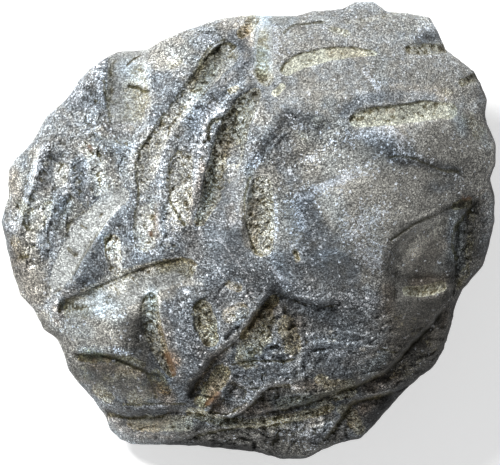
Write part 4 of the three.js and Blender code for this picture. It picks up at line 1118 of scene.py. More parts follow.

# %% [markdown]
# ## Light and dark, warm and cool patches
# Soft patches go over skin and fill alike. Some are dust, damp, wear and old dirt; many are painted
# shade where a surface turns away from the lamp or lies below a ledge, and painted light that lifts
# shadows. Each brush has one size and strength, and dabs or short strokes go on with it in many
# places. Patches add up where they overlap. The edge of the rim is dark where it turns away from
# the lamp.

# %% Light and dark patches
# half width, softness, stops lighter, and the brush's paths
# many darker patches are painted shade and many lighter ones painted light; the rest are real patches
TONE_AND_SHADE_PATCHES = [
    (3, 2, -0.8, [(206, 443, 250, 449)]), (3, 3, -0.4, [(272, 22, 273, 60)]),
    (4, 2, -0.7, [(390, 157, 420, 163, 456, 171)]), (4, 2, -0.8, [(205, 446, 255, 450)]),
    (4, 3, -0.3, [(174, 156, 180, 196), (306, 17, 330, 16)]), (4, 3, -0.4, [(132, 355, 134, 361)]),
    (4, 3, -0.5, [(398, 242, 424, 227, 442, 215), (86, 286, 112, 274), (286, 316, 298, 320),
        (280, 136, 283, 128), (222, 99, 228, 98), (226, 44, 222, 54), (196, 312, 198, 318),
        (92, 180, 94, 188), (98, 86, 98, 95), (226, 123, 231, 121), (159, 355, 163, 364),
        (232, 364, 240, 365), (206, 388, 213, 385), (251, 421, 258, 417), (302, 436, 309, 426),
        (338, 408, 362, 400), (328, 394, 342, 378), (466, 124, 468, 134), (194, 316, 204, 312)]),
    (4, 3, -0.6, [(136, 409, 176, 406), (284, 400, 304, 400), (262, 366, 275, 362), (102, 402, 110, 401),
        (458, 209, 469, 204)]),
    (4, 3, -0.7, [(449, 266, 450, 278)]), (4, 3, -0.8, [(467, 79, 475, 76), (449, 258, 450, 280)]),
    (5, 3, -0.4, [(160, 286, 182, 282)]), (5, 3, -0.7, [(286, 115, 276, 130, 266, 148)]),
    (5, 3, -0.8, [(160, 445, 200, 448, 296, 460), (428, 328, 412, 341, 400, 356, 388, 366)]),
    (5, 3, -0.9, [(452, 306, 447, 342, 432, 364, 402, 388, 376, 420, 346, 440), (479, 90, 484, 114)]),
    (5, 4, -0.3, [(136, 204, 142, 214), (90, 182, 94, 188), (174, 164, 174, 184), (442, 62, 470, 76)]),
    (5, 4, -0.4, [(236, 168, 242, 172), (110, 262, 116, 272), (248, 254, 254, 264), (272, 248, 278, 256),
        (388, 160, 396, 166), (118, 190, 126, 196), (246, 50, 250, 70), (160, 362, 170, 364),
        (110, 350, 120, 352), (156, 212, 170, 224), (110, 350, 116, 352), (150, 196, 164, 216),
        (118, 56, 150, 58), (42, 260, 48, 254), (36, 198, 46, 192), (342, 368, 362, 364),
        (462, 238, 466, 254), (168, 110, 176, 102), (196, 428, 210, 423)]),
    (5, 4, -0.5, [(36, 262, 44, 256), (58, 224, 62, 232), (146, 150, 146, 170), (250, 434, 264, 438),
        (292, 342, 298, 348)]),
    (5, 4, -0.6, [(200, 122, 198, 146), (191, 396, 193, 406), (262, 312, 282, 304, 304, 300),
        (203, 424, 209, 423)]),
    (5, 4, -0.7, [(374, 420, 388, 404), (214, 392, 222, 374)]),
    (5, 4, -0.8, [(372, 418, 386, 402, 406, 384, 436, 358, 444, 330), (465, 250, 476, 250)]),
    (6, 4, -0.3, [(104, 122, 108, 128), (312, 124, 326, 124), (270, 194, 274, 200), (390, 244, 384, 270)]),
    (6, 4, -0.4, [(136, 270, 146, 278), (76, 288, 90, 294), (184, 92, 184, 104), (230, 62, 234, 70),
        (270, 382, 278, 376), (58, 158, 62, 160), (22, 230, 28, 236), (112, 300, 160, 308),
        (155, 424, 160, 426), (124, 142, 126, 146), (112, 156, 116, 160), (86, 142, 96, 148),
        (50, 154, 68, 156), (122, 190, 124, 198), (34, 214, 36, 228), (138, 206, 137, 240),
        (72, 298, 100, 282), (110, 260, 122, 272), (12, 168, 10, 214), (24, 190, 44, 192),
        (195, 72, 197, 84)]),
    (6, 4, -0.5, [(208, 62, 222, 50), (206, 38, 214, 38), (401, 112, 404, 118), (286, 264, 298, 270),
        (196, 446, 250, 450), (62, 320, 80, 318), (38, 188, 44, 196), (266, 86, 284, 86),
        (194, 78, 198, 82), (216, 56, 202, 72)]),
    (6, 4, -0.6, [(254, 152, 255, 162), (306, 240, 310, 250), (168, 446, 240, 450, 280, 452),
        (318, 442, 338, 434, 348, 408), (196, 124, 203, 122), (142, 158, 139, 180), (485, 240, 483, 256),
        (62, 340, 70, 370)]),
    (6, 4, -0.8, [(222, 92, 208, 112)]), (6, 4, -0.9, [(291, 308, 290, 346)]),
    (6, 5, -0.4, [(10, 238, 22, 272), (306, 215, 310, 245)]),
    (6, 5, -0.5, [(296, 158, 312, 150), (150, 386, 190, 384), (342, 48, 344, 62), (206, 96, 200, 106)]),
    (7, 4, -0.3, [(300, 126, 318, 126), (290, 130, 292, 160)]), (7, 4, -0.5, [(212, 284, 218, 300)]),
    (7, 4, -0.6, [(305, 446, 330, 436), (372, 414, 400, 390)]), (7, 4, -0.8, [(190, 376, 189, 400)]),
    (7, 5, -0.3, [(280, 204, 310, 194), (226, 190, 212, 206), (230, 128, 226, 150, 216, 178)]),
    (7, 5, -0.4, [(256, 208, 266, 222), (190, 278, 200, 286), (114, 82, 118, 88), (374, 116, 380, 124),
        (205, 190, 200, 214)]),
    (7, 5, -0.5, [(324, 362, 342, 350), (342, 142, 364, 124), (256, 282, 268, 294), (334, 302, 394, 304),
        (286, 432, 300, 436), (322, 180, 334, 180), (254, 196, 254, 214), (240, 312, 252, 318),
        (4, 222, 8, 256, 16, 284), (246, 52, 244, 62), (206, 304, 210, 314), (256, 84, 254, 96),
        (404, 226, 444, 211), (396, 226, 388, 268), (380, 292, 384, 308)]),
    (7, 5, -0.6, [(188, 236, 200, 228), (104, 268, 114, 276), (398, 122, 402, 138), (328, 398, 272, 408)]),
    (8, 5, -0.3, [(54, 156, 44, 182)]), (8, 5, -0.35, [(232, 122, 224, 150, 216, 196)]),
    (8, 5, -0.4, [(140, 345, 165, 362), (196, 332, 206, 352), (118, 106, 122, 122), (240, 100, 262, 104),
        (176, 90, 174, 100), (340, 106, 356, 106), (340, 150, 380, 153), (76, 256, 98, 244),
        (120, 300, 172, 286), (378, 300, 380, 340)]),
    (8, 5, -0.5, [(334, 282, 350, 282), (172, 252, 184, 240)]), (8, 5, -0.6, [(240, 380, 248, 380)]),
    (8, 5, -0.8, [(158, 280, 184, 274)]), (8, 6, -0.3, [(222, 292, 234, 322)]),
    (8, 6, -0.4, [(190, 336, 200, 366)]), (8, 6, -0.5, [(268, 268, 296, 292)]),
    (9, 5, -0.8, [(100, 148, 112, 158, 112, 166)]), (9, 5, -1.2, [(147, 322, 147, 362)]),
    (9, 6, -0.25, [(408, 200, 436, 200)]), (9, 6, -0.3, [(238, 244, 234, 266, 246, 284)]),
    (9, 6, -0.4, [(224, 250, 240, 230)]), (9, 6, -0.5, [(250, 278, 276, 288)]),
    (9, 6, -0.6, [(116, 62, 116, 100)]), (9, 6, -0.8, [(150, 380, 160, 394)]),
    (9, 7, -0.5, [(240, 40, 222, 62, 212, 78)]), (10, 6, -0.2, [(78, 98, 92, 84)]),
    (10, 6, -0.7, [(312, 318, 352, 314)]), (10, 6, -0.9, [(396, 368, 350, 382, 318, 390)]),
    (10, 7, -0.3, [(218, 248, 234, 272), (92, 372, 148, 378)]), (10, 7, -0.4, [(240, 364, 258, 384)]),
    (12, 6, -0.9, [(476, 262, 448, 290)]), (12, 7, -0.4, [(330, 318, 334, 340)]),
    (12, 8, -0.5, [(356, 252, 386, 272)]), (13, 6, -0.7, [(468, 205, 480, 240)]),
    (14, 8, -0.4, [(88, 374, 128, 384), (465, 124, 470, 172)]),
    (17, 8, -1.0, [(436, 300, 424, 340, 396, 362)]), (20, 9, -0.5, [(430, 306, 408, 324)]),
    (3, 2, 0.6, [(244, 180, 245, 202)]),
    (4, 3, 0.4, [(292, 123, 280, 143), (340, 390, 374, 390), (262, 36, 262, 56), (204, 55, 215, 52),
        (224, 84, 228, 90), (168, 102, 173, 94), (263, 164, 268, 156), (188, 264, 190, 271),
        (188, 440, 214, 436), (240, 443, 254, 444)]),
    (4, 3, 0.5, [(474, 202, 464, 216, 448, 224), (304, 318, 305, 336), (430, 329, 420, 342, 406, 354),
        (282, 354, 281, 360), (294, 351, 298, 355), (280, 338, 284, 344), (309, 350, 334, 346),
        (309, 301, 312, 303), (296, 252, 298, 258), (321, 256, 328, 257), (396, 288, 398, 296),
        (458, 122, 459, 133), (422, 37, 430, 34), (235, 29, 237, 36), (275, 147, 279, 142),
        (182, 413, 214, 414), (151, 366, 155, 377), (442, 312, 444, 322), (346, 424, 348, 436)]),
    (4, 3, 0.6, [(274, 390, 292, 384), (136, 154, 144, 146), (229, 352, 237, 351), (326, 309, 334, 306),
        (197, 62, 198, 69), (292, 438, 294, 445), (197, 388, 206, 376), (431, 328, 434, 340)]),
    (4, 3, 0.7, [(244, 87, 234, 97, 224, 111, 214, 119), (292, 355, 300, 354), (197, 214, 198, 224),
        (188, 302, 192, 309)]),
    (4, 3, 0.8, [(399, 362, 394, 378)]), (4, 3, 0.9, [(362, 94, 364, 102)]),
    (5, 3, 0.7, [(204, 386, 202, 406)]),
    (5, 4, 0.3, [(382, 98, 388, 114), (168, 148, 178, 150), (42, 176, 70, 168)]),
    (5, 4, 0.4, [(246, 84, 254, 88), (326, 258, 340, 252), (270, 404, 280, 396), (216, 332, 220, 340),
        (182, 416, 196, 414), (70, 194, 80, 188), (56, 202, 60, 208), (126, 216, 132, 200),
        (132, 186, 134, 194), (164, 196, 168, 204), (38, 242, 54, 240)]),
    (5, 4, 0.5, [(96, 146, 99, 154), (230, 158, 234, 170), (292, 250, 298, 256), (286, 386, 296, 374),
        (220, 400, 228, 404), (122, 244, 125, 254), (206, 282, 209, 292), (284, 130, 272, 148),
        (446, 216, 450, 222), (324, 308, 336, 308), (278, 110, 292, 106), (270, 428, 286, 424),
        (308, 392, 328, 387), (380, 358, 388, 350), (268, 132, 272, 123), (471, 192, 480, 182),
        (441, 221, 451, 217)]),
    (5, 4, 0.6, [(140, 144, 134, 164), (100, 392, 106, 394), (262, 64, 262, 72), (162, 160, 161, 195)]),
    (5, 4, 0.8, [(462, 250, 468, 262, 458, 284)]),
    (6, 4, 0.3, [(146, 370, 158, 376), (242, 176, 246, 186), (240, 24, 244, 34), (240, 190, 238, 224)]),
    (6, 4, 0.4, [(256, 74, 264, 80), (78, 360, 84, 376), (150, 276, 160, 280), (46, 272, 58, 256),
        (364, 136, 374, 138), (108, 406, 120, 412), (120, 348, 132, 344)]),
    (6, 4, 0.5, [(380, 358, 390, 350), (72, 158, 78, 162), (408, 98, 426, 96), (238, 200, 242, 214),
        (425, 294, 438, 293), (222, 400, 232, 404), (84, 352, 104, 350), (430, 290, 440, 290),
        (270, 198, 274, 225, 268, 252), (226, 44, 230, 60), (318, 410, 342, 402)]),
    (6, 4, 0.6, [(444, 246, 450, 254), (298, 352, 302, 368), (120, 274, 128, 278), (84, 272, 90, 274),
        (44, 314, 54, 320), (192, 96, 186, 122), (246, 172, 250, 176), (348, 430, 358, 428),
        (440, 334, 424, 352, 406, 368, 394, 380), (104, 404, 114, 418, 122, 434), (118, 320, 132, 310),
        (434, 328, 430, 340), (244, 338, 256, 328, 268, 322)]),
    (6, 4, 0.7, [(425, 293, 440, 291), (101, 170, 102, 188), (40, 166, 38, 180), (360, 412, 372, 405)]),
    (6, 4, 0.8, [(230, 350, 233, 358)]),
    (6, 5, 0.3, [(122, 62, 128, 68), (310, 98, 316, 104), (396, 276, 400, 294)]),
    (6, 5, 0.4, [(268, 220, 272, 234), (248, 238, 262, 272), (100, 66, 98, 100), (100, 172, 132, 174),
        (405, 94, 448, 98)]),
    (7, 4, 0.5, [(310, 388, 326, 385), (420, 293, 442, 289)]), (7, 4, 0.6, [(268, 424, 284, 424)]),
    (7, 5, 0.3, [(376, 66, 384, 72), (404, 262, 402, 242)]),
    (7, 5, 0.4, [(330, 128, 345, 128), (405, 122, 448, 118)]),
    (7, 5, 0.5, [(14, 222, 28, 208), (322, 206, 332, 222), (402, 248, 412, 252), (326, 412, 330, 428),
        (172, 420, 198, 414)]),
    (7, 5, 0.6, [(230, 306, 234, 318), (34, 268, 36, 288), (175, 64, 178, 72), (414, 36, 430, 32)]),
    (7, 5, 0.7, [(122, 214, 106, 238)]), (8, 4, 0.9, [(151, 298, 154, 326)]),
    (8, 5, 0.4, [(60, 304, 100, 304), (102, 288, 120, 290), (306, 348, 338, 346), (142, 78, 146, 108),
        (295, 352, 292, 366, 288, 388)]),
    (8, 5, 0.5, [(232, 434, 254, 440), (226, 438, 250, 440), (148, 216, 142, 246), (124, 154, 136, 168),
        (142, 428, 176, 432), (228, 164, 234, 168)]),
    (8, 5, 0.6, [(132, 126, 146, 130)]),
    (8, 5, 0.7, [(204, 126, 206, 150), (238, 90, 216, 118, 204, 142, 199, 172), (86, 150, 112, 156),
        (116, 272, 120, 288)]),
    (8, 6, 0.25, [(286, 40, 298, 46), (216, 212, 218, 246)]),
    (8, 6, 0.3, [(206, 234, 224, 244), (338, 38, 362, 50), (342, 186, 392, 192), (394, 268, 400, 290)]),
    (8, 6, 0.4, [(326, 190, 332, 205)]), (9, 5, 0.4, [(228, 314, 240, 308)]),
    (9, 5, 0.8, [(196, 284, 150, 297)]), (9, 6, 0.4, [(218, 164, 212, 178), (120, 434, 176, 434)]),
    (9, 6, 0.5, [(141, 66, 142, 78), (408, 252, 418, 244)]), (9, 6, 0.6, [(92, 116, 94, 128)]),
    (9, 6, 0.8, [(108, 314, 132, 306)]), (10, 5, 0.7, [(258, 14, 262, 74)]),
    (10, 6, 0.3, [(45, 205, 38, 236)]), (10, 6, 0.5, [(366, 122, 396, 130)]),
    (10, 6, 0.6, [(258, 428, 290, 424, 322, 422), (42, 304, 54, 318), (104, 238, 116, 256),
        (186, 194, 170, 220)]),
    (10, 6, 0.8, [(444, 222, 420, 238, 404, 262)]),
    (10, 7, 0.3, [(375, 215, 395, 210), (248, 112, 270, 130)]), (10, 7, 0.35, [(310, 90, 350, 100)]),
    (11, 5, 0.5, [(205, 316, 208, 342)]), (12, 7, 0.35, [(48, 198, 32, 244)]),
    (12, 8, 0.25, [(66, 324, 110, 342)]), (13, 7, 0.5, [(78, 350, 108, 340)]),
    (14, 8, 0.3, [(196, 244, 212, 262)]), (14, 8, 0.35, [(320, 155, 345, 162)]),
    (14, 9, 0.4, [(275, 92, 290, 108)]), (24, 14, 0.15, [(380, 26, 424, 44, 440, 90)]),
]
RIM_STOPS = 2.4                  # how much darker the rim's edge is


def patches(brushes):
    """The sum of all the brushes' strokes at each place."""
    total = np.zeros(len(drawn))
    for half_width, softness, strength, paths in brushes:
        for path in paths:
            total += strength * stroke(path, half_width, drawn, softness)
    return total


# real patches together with painted light and shade, minus the rim's painted shade
tone = patches(TONE_AND_SHADE_PATCHES) - RIM_STOPS * fill["shade"]
print("stops, darkest to lightest:", np.round(np.percentile(tone, [1, 25, 50, 75, 99]), 2))

# %% Warm and cool patches
# half width, softness, how much browner (above 0) or bluer (below 0), and the brush's paths
HUES = [
    (4, 3, -0.5, [(118, 361, 138, 362), (155, 376, 163, 380), (106, 402, 116, 416)]),
    (4, 3, -0.6, [(214, 325, 214, 348), (80, 349, 138, 352), (206, 384, 206, 398), (482, 134, 486, 146)]),
    (4, 3, -0.7, [(250, 166, 247, 200), (88, 356, 100, 357)]), (4, 3, -0.9, [(201, 388, 201, 404)]),
    (5, 3, -0.6, [(152, 290, 154, 306)]), (5, 3, -0.8, [(147, 384, 151, 398)]),
    (5, 3, -0.9, [(84, 353, 100, 356), (196, 216, 197, 224)]), (5, 4, -0.4, [(204, 108, 196, 128)]),
    (5, 4, -0.5, [(238, 282, 240, 294), (334, 116, 347, 127), (152, 201, 156, 206), (186, 48, 192, 42)]),
    (5, 4, -0.6, [(163, 210, 163, 230), (122, 162, 125, 174)]),
    (5, 4, -0.7, [(214, 184, 200, 216), (460, 122, 462, 134), (250, 354, 252, 360)]),
    (5, 4, -0.8, [(82, 374, 90, 376)]),
    (6, 4, -0.5, [(104, 238, 112, 250), (212, 165, 208, 200), (170, 50, 196, 62), (244, 312, 238, 322),
        (98, 142, 114, 152), (267, 136, 265, 162)]),
    (6, 4, -0.6, [(438, 272, 448, 254)]),
    (6, 4, -0.7, [(326, 104, 331, 105), (64, 304, 100, 314), (190, 424, 228, 420), (166, 430, 176, 430)]),
    (6, 4, -0.8, [(212, 70, 205, 84, 198, 96), (68, 204, 60, 226), (156, 374, 166, 380),
        (151, 298, 151, 328)]),
    (6, 4, -0.9, [(262, 54, 263, 74), (384, 354, 366, 376)]), (6, 5, -0.5, [(455, 112, 458, 128)]),
    (6, 5, -0.6, [(256, 160, 250, 170)]), (7, 4, -0.9, [(276, 402, 310, 401)]),
    (7, 5, -0.4, [(326, 160, 329, 178)]),
    (7, 5, -0.5, [(276, 256, 286, 282), (372, 52, 380, 68, 378, 84)]), (8, 4, -0.6, [(262, 20, 263, 66)]),
    (8, 5, -0.6, [(270, 20, 290, 20), (320, 260, 334, 256), (246, 104, 238, 138)]),
    (8, 5, -0.9, [(456, 212, 456, 266)]), (8, 6, -0.5, [(338, 222, 345, 248)]),
    (8, 7, -0.4, [(368, 215, 376, 250)]), (9, 6, -0.4, [(50, 205, 75, 210)]),
    (9, 6, -0.5, [(136, 236, 142, 252)]), (9, 6, -0.6, [(238, 352, 262, 350)]),
    (10, 6, -0.5, [(294, 208, 300, 238)]), (10, 6, -0.6, [(60, 322, 85, 332), (128, 70, 142, 74)]),
    (10, 7, -0.35, [(186, 104, 195, 130)]), (10, 7, -0.5, [(30, 170, 28, 215)]),
    (10, 7, -0.7, [(90, 290, 118, 316)]), (10, 8, -0.4, [(340, 162, 400, 160)]),
    (12, 8, -0.5, [(92, 125, 125, 145), (95, 165, 100, 190)]),
    (12, 8, -0.6, [(364, 142, 400, 152), (312, 194, 334, 206)]), (12, 9, -0.3, [(205, 30, 230, 58)]),
    (14, 8, -0.6, [(284, 204, 286, 228)]), (14, 9, -0.3, [(405, 25, 430, 40)]),
    (14, 9, -0.6, [(312, 128, 338, 138)]), (18, 10, -0.3, [(120, 75, 122, 140)]),
    (3, 2, 0.9, [(158, 206, 158, 236)]),
    (4, 3, 0.5, [(206, 128, 205, 150, 203, 170), (443, 322, 446, 306)]),
    (4, 3, 0.6, [(247, 30, 248, 58), (254, 200, 254, 245), (56, 300, 58, 320), (88, 190, 90, 200),
        (160, 329, 166, 340)]),
    (4, 3, 0.7, [(205, 168, 196, 200, 193, 222)]),
    (4, 3, 0.8, [(92, 367, 120, 369, 140, 374), (209, 370, 200, 382, 194, 397)]),
    (5, 3, 0.6, [(58, 308, 60, 322)]), (5, 3, 0.9, [(168, 356, 176, 362)]),
    (5, 4, 0.4, [(110, 416, 126, 432), (200, 165, 196, 200)]),
    (5, 4, 0.5, [(140, 437, 168, 436), (330, 54, 370, 56), (38, 178, 46, 184), (144, 268, 150, 268),
        (170, 257, 178, 256)]),
    (5, 4, 0.6, [(230, 210, 232, 216), (250, 411, 290, 412), (272, 386, 312, 382), (14, 244, 16, 258),
        (158, 422, 166, 422)]),
    (5, 4, 0.7, [(170, 411, 180, 411)]), (5, 4, 0.8, [(66, 296, 84, 288), (270, 310, 282, 306)]),
    (6, 4, 0.4, [(172, 355, 184, 362), (482, 196, 486, 230), (82, 378, 94, 392), (294, 358, 296, 372),
        (308, 278, 316, 286)]),
    (6, 4, 0.5, [(214, 396, 226, 412), (12, 172, 18, 194), (308, 424, 328, 414), (400, 138, 402, 158)]),
    (6, 4, 0.6, [(300, 384, 340, 384), (222, 84, 234, 76)]),
    (6, 4, 0.8, [(165, 322, 172, 352, 178, 378), (168, 352, 176, 360), (414, 282, 440, 278)]),
    (6, 4, 0.9, [(256, 318, 240, 336, 222, 350, 206, 368, 192, 388), (216, 382, 213, 394, 216, 410)]),
    (7, 4, 0.8, [(150, 392, 170, 399), (154, 386, 170, 397)]),
    (7, 5, 0.7, [(348, 362, 366, 352), (298, 322, 324, 328)]),
    (7, 5, 0.8, [(230, 382, 238, 392), (248, 410, 266, 406), (338, 432, 350, 424), (386, 290, 386, 306)]),
    (7, 5, 1.1, [(364, 409, 378, 402)]), (8, 5, 0.4, [(228, 310, 226, 330)]),
    (8, 5, 0.5, [(218, 408, 236, 408), (196, 228, 194, 256)]),
    (8, 5, 0.6, [(232, 145, 228, 150), (205, 388, 214, 400)]),
    (8, 5, 0.8, [(355, 405, 366, 415), (108, 130, 126, 132)]), (8, 5, 1.0, [(374, 386, 394, 380)]),
    (8, 6, 0.3, [(230, 175, 232, 220)]), (8, 6, 0.4, [(395, 95, 440, 95)]),
    (9, 6, 0.7, [(108, 412, 130, 430, 170, 434)]), (10, 6, 0.4, [(292, 310, 300, 345)]),
    (10, 6, 0.5, [(228, 28, 246, 38), (365, 385, 400, 365)]), (10, 7, 0.3, [(190, 240, 205, 262)]),
    (10, 7, 0.5, [(205, 350, 228, 358)]), (12, 7, 0.3, [(12, 245, 22, 270, 40, 300)]),
    (12, 7, 0.5, [(218, 298, 240, 296)]), (12, 8, 0.25, [(235, 255, 255, 268)]),
    (16, 10, 0.25, [(300, 275, 330, 290)]), (16, 10, 0.35, [(250, 290, 290, 330)]),
    (20, 12, 0.25, [(345, 300, 385, 330)]), (20, 12, 0.35, [(380, 330, 440, 340)]),
    (26, 14, 0.3, [(430, 260, 440, 310)]),
]

hue = patches(HUES)
print("coolest to warmest:", np.round(np.percentile(hue, [1, 25, 50, 75, 99]), 2))

# %% [markdown]
# ## Fading onto the side
# The drawing ends at the rim. Just below it, fill, dirt with its painted shade, and patches with their
# painted light and shade fade out into one plain skin.

# %% Fading onto the side
FADE_QUICKNESS = 4               # the drawing has faded out at 1/4 of the way down the side
SIDE_SKIN = (-0.15, 0.25)        # lightness and blueness

below = smoothstep(down * FADE_QUICKNESS)
above = 1 - below
fill["amount"] *= above
fill["dirt"] *= above
lightness = lightness * above + SIDE_SKIN[0] * below
blueness = blueness * above + SIDE_SKIN[1] * below
print("share of the corners with the side's skin:", round(float(below.mean()), 3))

# %% [markdown]
# ## Saving the triangles for the relief
# The attributes go on the mesh first, so that the Decimate modifier carries them along.

# %% Attributes and Decimate
def keep(name, values):
    """Stores one number for each corner of the stone under that name."""
    attribute = stone.data.attributes.new(name, "FLOAT", "POINT")
    attribute.data.foreach_set("value", np.asarray(values, np.float32))


keep("lightness", lightness)
keep("blueness", blueness)
keep("tone", tone * above)
keep("hue", hue * above)
keep("uneven", uneven)
keep("fill", fill["amount"])
for name in ("paleness", "warmth", "grit", "dirt"):
    keep(name, fill[name])
keep("flecks", flecks * above)
keep("rust", rust * above)
keep("rough", np.maximum(rough, below))

select_nothing()
stone.select_set(True)
bpy.context.view_layer.objects.active = stone
bpy.ops.object.modifier_add(type="DECIMATE")
stone.modifiers["Decimate"].ratio = MOST_TRIANGLES / len(stone.data.polygons)
bpy.ops.object.modifier_apply(modifier="Decimate")
bpy.ops.object.shade_smooth()
print("triangles:", len(stone.data.polygons))

# %% [markdown]
# ## Hollows and crests
# Hollows are painted darker, as shade and as dirt, and crests are painted lighter. A corner lies in
# a hollow where the surface around it, smoothed by averaging neighbours, stands above it.

# %% Hollows and crests
HOLLOW_FINE = 0.3 * MM           # this far below the smoothed surface is a full hollow
HOLLOW_BROAD = 1.2 * MM
FINE_ROUNDS, BROAD_ROUNDS = 6, 40       # rounds of averaging
FINE_SHARE = 0.6


def smoothed(points, edges, rounds):
    """Each corner moved to the middle of its neighbours, several times over."""
    count = np.bincount(edges.ravel(), minlength=len(points))[:, None]
    for _ in range(rounds):
        total = np.column_stack([
            np.bincount(edges[:, 0], points[edges[:, 1], axis], len(points))
            + np.bincount(edges[:, 1], points[edges[:, 0], axis], len(points))
            for axis in range(3)
        ])
        points = 0.5 * points + 0.5 * total / count
    return points


mesh = stone.data
points = np.empty(len(mesh.vertices) * 3)
mesh.vertices.foreach_get("co", points)
points = points.reshape(-1, 3)
edges = np.empty(len(mesh.edges) * 2, np.int64)
mesh.edges.foreach_get("vertices", edges)
edges = edges.reshape(-1, 2)
normals = np.empty(len(mesh.vertices) * 3)
mesh.vertex_normals.foreach_get("vector", normals)
normals = normals.reshape(-1, 3)
fine = ((smoothed(points, edges, FINE_ROUNDS) - points) * normals).sum(axis=1)
broad = ((smoothed(points, edges, BROAD_ROUNDS) - points) * normals).sum(axis=1)
depth = FINE_SHARE * fine / HOLLOW_FINE + (1 - FINE_SHARE) * broad / HOLLOW_BROAD
keep("hollow", np.clip(depth, -1, 1))
print("fine, mm:", np.round(np.percentile(fine / MM, [2, 10, 50, 90, 98]), 3))
print("broad, mm:", np.round(np.percentile(broad / MM, [2, 10, 50, 90, 98]), 3))
print("hollow share:", round(float((fine > 0.1 * MM).mean()), 3))

# %% [markdown]
# ## A bench for shader maths
# A material is a network of nodes. Written as plain expressions it is far easier to read, so one
# small class wraps a socket: sums, differences and products of wires add the Math nodes for them.

# %% Shader bench
GRAIN_WARP = 2.0                 # how far a grain's outline wanders, in sizes of the grain
# sockets whose names are shared with others on their node are called by number
OBJECT_OUT, FACTOR_OUT, COLOUR_OUT, MIXED_OUT = 3, 2, 1, 2
MIX_AMOUNT, MIX_FIRST, MIX_SECOND = 0, 6, 7


class Wire:
    """A socket's output that can be used in sums, differences, products and powers."""

    def __init__(self, bench, socket):
        self.bench = bench
        self.socket = socket

    def maths(self, operation, first, second):
        return self.bench.node("ShaderNodeMath", {"operation": operation}, {0: first, 1: second})

    def __add__(self, other):
        return self.maths("ADD", self, other)

    __radd__ = __add__

    def __sub__(self, other):
        return self.maths("SUBTRACT", self, other)

    def __rsub__(self, other):
        return self.maths("SUBTRACT", other, self)

    def __mul__(self, other):
        return self.maths("MULTIPLY", self, other)

    __rmul__ = __mul__

    def __rpow__(self, other):
        return self.maths("POWER", other, self)


class Bench:
    """A material's node network."""

    def __init__(self, name):
        self.material = bpy.data.materials.new(name)
        self.material.use_nodes = True
        self.tree = self.material.node_tree
        self.surface = self.tree.nodes["Principled BSDF"]

    def plug(self, socket, value):
        if isinstance(value, Wire):
            self.tree.links.new(value.socket, socket)
        else:
            socket.default_value = value

    def node(self, kind, settings=None, sockets=None, out=0):
        """Adds a node: its settings first, then the values or links of its sockets."""
        node = self.tree.nodes.new(kind)
        for name, value in (settings or {}).items():
            if name == "stops":
                ramp = node.color_ramp
                while len(ramp.elements) < len(value):
                    ramp.elements.new(0.5)
                for element, (position, colour) in zip(ramp.elements, value):
                    element.position = position
                    element.color = (*colour, 1)
            else:
                setattr(node, name, value)
        for name, value in (sockets or {}).items():
            self.plug(node.inputs[name], value)
        return Wire(self, node.outputs[out])

    def attribute(self, name):
        return self.node("ShaderNodeAttribute", {"attribute_name": name}, out=FACTOR_OUT)

    def noise(self, size, detail=3.0, roughness=0.55):
        """Noise about 0, mostly between -0.5 and 0.5; size in metres."""
        sockets = {"Vector": self.place, "Scale": 1 / size, "Detail": detail, "Roughness": roughness}
        return self.node("ShaderNodeTexNoise", {}, sockets) - 0.5

    def grains(self, size):
        """Each grain of about that size has its own value, between -0.5 and 0.5."""
        sockets = {"Vector": self.place, "Scale": 1 / size}
        swirl = self.node("ShaderNodeTexNoise", {}, sockets, out=COLOUR_OUT)
        reach = (GRAIN_WARP * size,) * 3
        place = self.node("ShaderNodeVectorMath", {"operation": "MULTIPLY_ADD"},
                          {0: swirl, 1: reach, 2: self.place})
        sockets = {"Vector": place, "Scale": 1 / size}
        cell = self.node("ShaderNodeTexVoronoi", {}, sockets, out=COLOUR_OUT)
        return self.node("ShaderNodeSeparateColor", {}, {0: cell}) - 0.5

    def step(self, value, low, high):
        """0 below low, 1 above high and smooth between."""
        settings = {"interpolation_type": "SMOOTHSTEP"}
        sockets = {"Value": value, "From Min": low, "From Max": high}
        return self.node("ShaderNodeMapRange", settings, sockets)

    def lit(self, colour, stops):
        """A colour made so many stops lighter."""
        grey = 2 ** stops
        grey = self.node("ShaderNodeCombineColor", {}, {0: grey, 1: grey, 2: grey})
        return self.mix(1.0, colour, grey, "MULTIPLY")

    def mix(self, amount, first, second, blend="MIX"):
        settings = {"data_type": "RGBA", "blend_type": blend}
        sockets = {MIX_AMOUNT: amount, MIX_FIRST: first, MIX_SECOND: second}
        return self.node("ShaderNodeMix", settings, sockets, out=MIXED_OUT)


bench = Bench("limestone")
bench.place = bench.node("ShaderNodeTexCoord", out=OBJECT_OUT)
print("shader bench ready")

# %% [markdown]
# ## Limestone: skin, dust, dirt and painted shade
# The sponge's skin runs from brown-grey to blue-grey and is mottled at every scale. Hollows are
# painted darker, as shade, and crests are painted lighter. Noise of four sizes is added to each
# painted number before it is used, so that no drawn edge stays clean.

# %% Limestone: skin, dust, dirt and painted shade
BROWN_GREY = (0.271, 0.265, 0.242, 1)
BLUE_GREY = (0.222, 0.25, 0.276, 1)
DUST_BEIGE = (0.46, 0.45, 0.4, 1)
CLOUD_SIZE, MOTTLE_SIZE, GRAIN_SIZE, SPECKLE_SIZE = 14 * MM, 3.2 * MM, 0.9 * MM, 0.5 * MM
NOISE_MIXES = {                  # how much clouds, mottle, grain and speckle there is in each
    "blueness": (0.9, 1.2, 0, 0),
    "lightness": (1.4, 1.6, 0.6, 5.0),
    "dust": (0.8, 0.9, 0, 0),
    "dirt": (0.5, 1.0, 0, 0),
    "flecks": (0.25, 0, 0, 0.5),
    "paleness": (0.3, 0.9, 0.9, 1.0),
    "fill": (0.4, 1.1, 0.7, 0),
    "rust": (0, 1.2, 0.8, 0),
    "relief": (0, 1.1, 1.3, 1.1),
}
